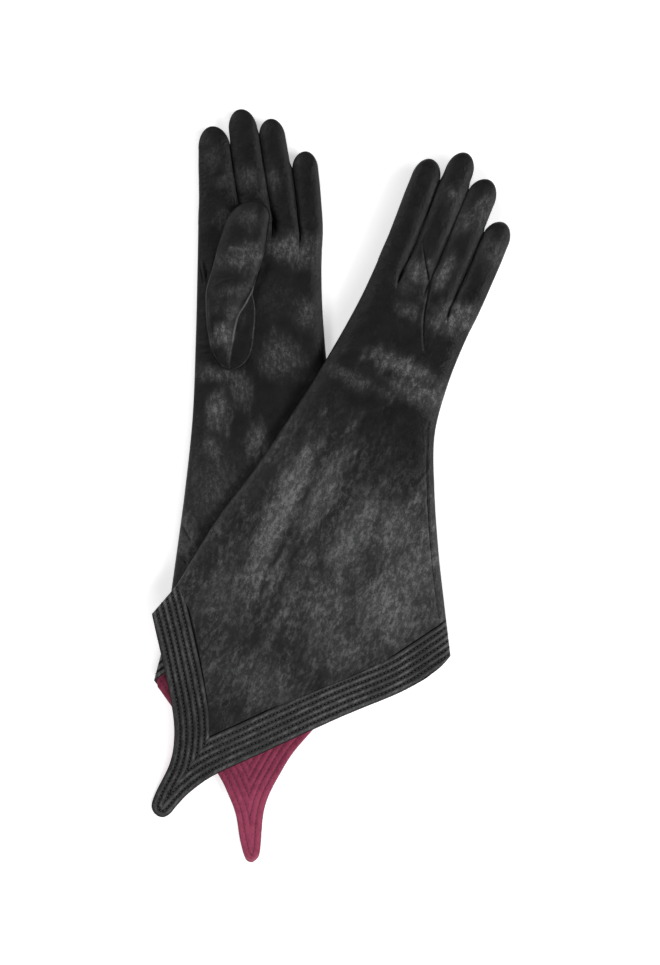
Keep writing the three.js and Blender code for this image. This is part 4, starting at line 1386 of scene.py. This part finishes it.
def thread_material(name, low, high):
    """Waxed thread, with twisted fibres."""
    g = Graph(name)
    place = g.node("ShaderNodeTexCoord").outputs["Object"]
    fibre = g.noise(place, 0.3 * MM, 2.0)
    g.set(g.shader.inputs["Base Color"], g.colour_mix(fibre, low, high))
    g.set(g.shader.inputs["Roughness"], g.ramp(fibre, 0.3, 0.7, 0.4, 0.6))
    g.set(g.shader.inputs["Normal"], g.bump(fibre, 0.05 * MM, 0.5))
    return g.material


# ---- Studio ----

VIEW_HEIGHT = 0.6369
CAMERA_HEIGHT = 2.2
CAMERA_SIDE = (-1.65 * MM, 1.65 * MM)
SENSOR = 36
FLOOR_HALF = 3.0
FLOOR_DROP = 0.5 * MM
FLOOR_PAPER = ((0.9, 0.9, 0.9, 1), (0.93, 0.93, 0.93, 1))
FLOOR_GLOW = 0.5
WORLD_GLOW = 0.15
WHITE = (1, 1, 1, 1)

# Each light's place, its size and its power.
LIGHTS = {
    "east": ((1.5, 0.1, 1.0), (1.4, 0.5), 22),
    "south": ((0.2, -1.5, 1.1), (1.2, 0.5), 16),
    "north_west": ((-1.2, 1.0, 1.2), (1.0, 0.6), 14),
}


def add_floor():
    """A plain pale floor, just under the gloves."""
    mesh = bpy.data.meshes.new("floor")
    corners = [(x * FLOOR_HALF, y * FLOOR_HALF, 0) for x, y in ((-1, -1), (1, -1), (1, 1), (-1, 1))]
    mesh.from_pydata(corners, [], [(0, 1, 2, 3)])
    floor = bpy.data.objects.new("floor", mesh)
    floor.location.z = -FLOOR_DROP
    bpy.context.scene.collection.objects.link(floor)
    g = Graph("floor_paper")
    place = g.node("ShaderNodeTexCoord").outputs["Object"]
    g.set(g.shader.inputs["Base Color"], g.colour_mix(g.noise(place, 0.4, 2.0), *FLOOR_PAPER))
    g.shader.inputs["Roughness"].default_value = 0.9
    g.shader.inputs["Emission Color"].default_value = WHITE
    g.shader.inputs["Emission Strength"].default_value = FLOOR_GLOW
    mesh.materials.append(g.material)


def add_light(name, place, size, power):
    """A soft rectangular light that faces the gloves."""
    light = bpy.data.lights.new(name, "AREA")
    light.shape = "RECTANGLE"
    light.size, light.size_y = size
    light.energy = power
    obj = bpy.data.objects.new(name, light)
    obj.location = place
    obj.rotation_euler = (-Vector(place)).to_track_quat("-Z", "Y").to_euler()
    bpy.context.scene.collection.objects.link(obj)


def add_studio():
    """The floor, the lights, the world's glow, and a camera straight above at the photograph's framing."""
    add_floor()
    for name, light in LIGHTS.items():
        add_light(name, *light)
    world = bpy.data.worlds.new("studio")
    world.use_nodes = True
    world.node_tree.nodes["Background"].inputs["Color"].default_value = WHITE
    world.node_tree.nodes["Background"].inputs["Strength"].default_value = WORLD_GLOW
    bpy.context.scene.world = world
    camera = bpy.data.cameras.new("camera")
    camera.sensor_fit = "VERTICAL"
    camera.sensor_height = SENSOR
    camera.lens = SENSOR * CAMERA_HEIGHT / VIEW_HEIGHT
    obj = bpy.data.objects.new("camera", camera)
    obj.location = (*CAMERA_SIDE, CAMERA_HEIGHT)
    bpy.context.scene.collection.objects.link(obj)
    bpy.context.scene.camera = obj
    bpy.context.scene.view_settings.view_transform = "Standard"


def main():
    finishes = {
        # The last number is how much painted sheen each leather gets towards the cuff.
        "leather": (leather_material("black_nappa", *NAPPA, 0.36), "black_leather"),
        "dark_leather": (leather_material("dark_nappa", *DARK_NAPPA, 0.1), "black_leather"),
        "quilted": (leather_material("quilted_nappa", *QUILTED_NAPPA, 0.12), "quilted_band"),
        "lining": (lining_material(), "suede_lining"),
        "thread": (thread_material("black_thread", *BLACK_THREAD), "quilted_band"),
        "lining_thread": (thread_material("burgundy_thread", *BURGUNDY_THREAD), "suede_lining"),
    }
    for glove in (LEFT, RIGHT):
        glove["wrist"] = wrist_of(glove)
        add_hand(glove, finishes)
        add_thumb(glove, finishes)
        add_threads(glove, finishes)
        for finger in FINGER_NAMES:
            add_finger(glove, finger, finishes)
    add_studio()


main()
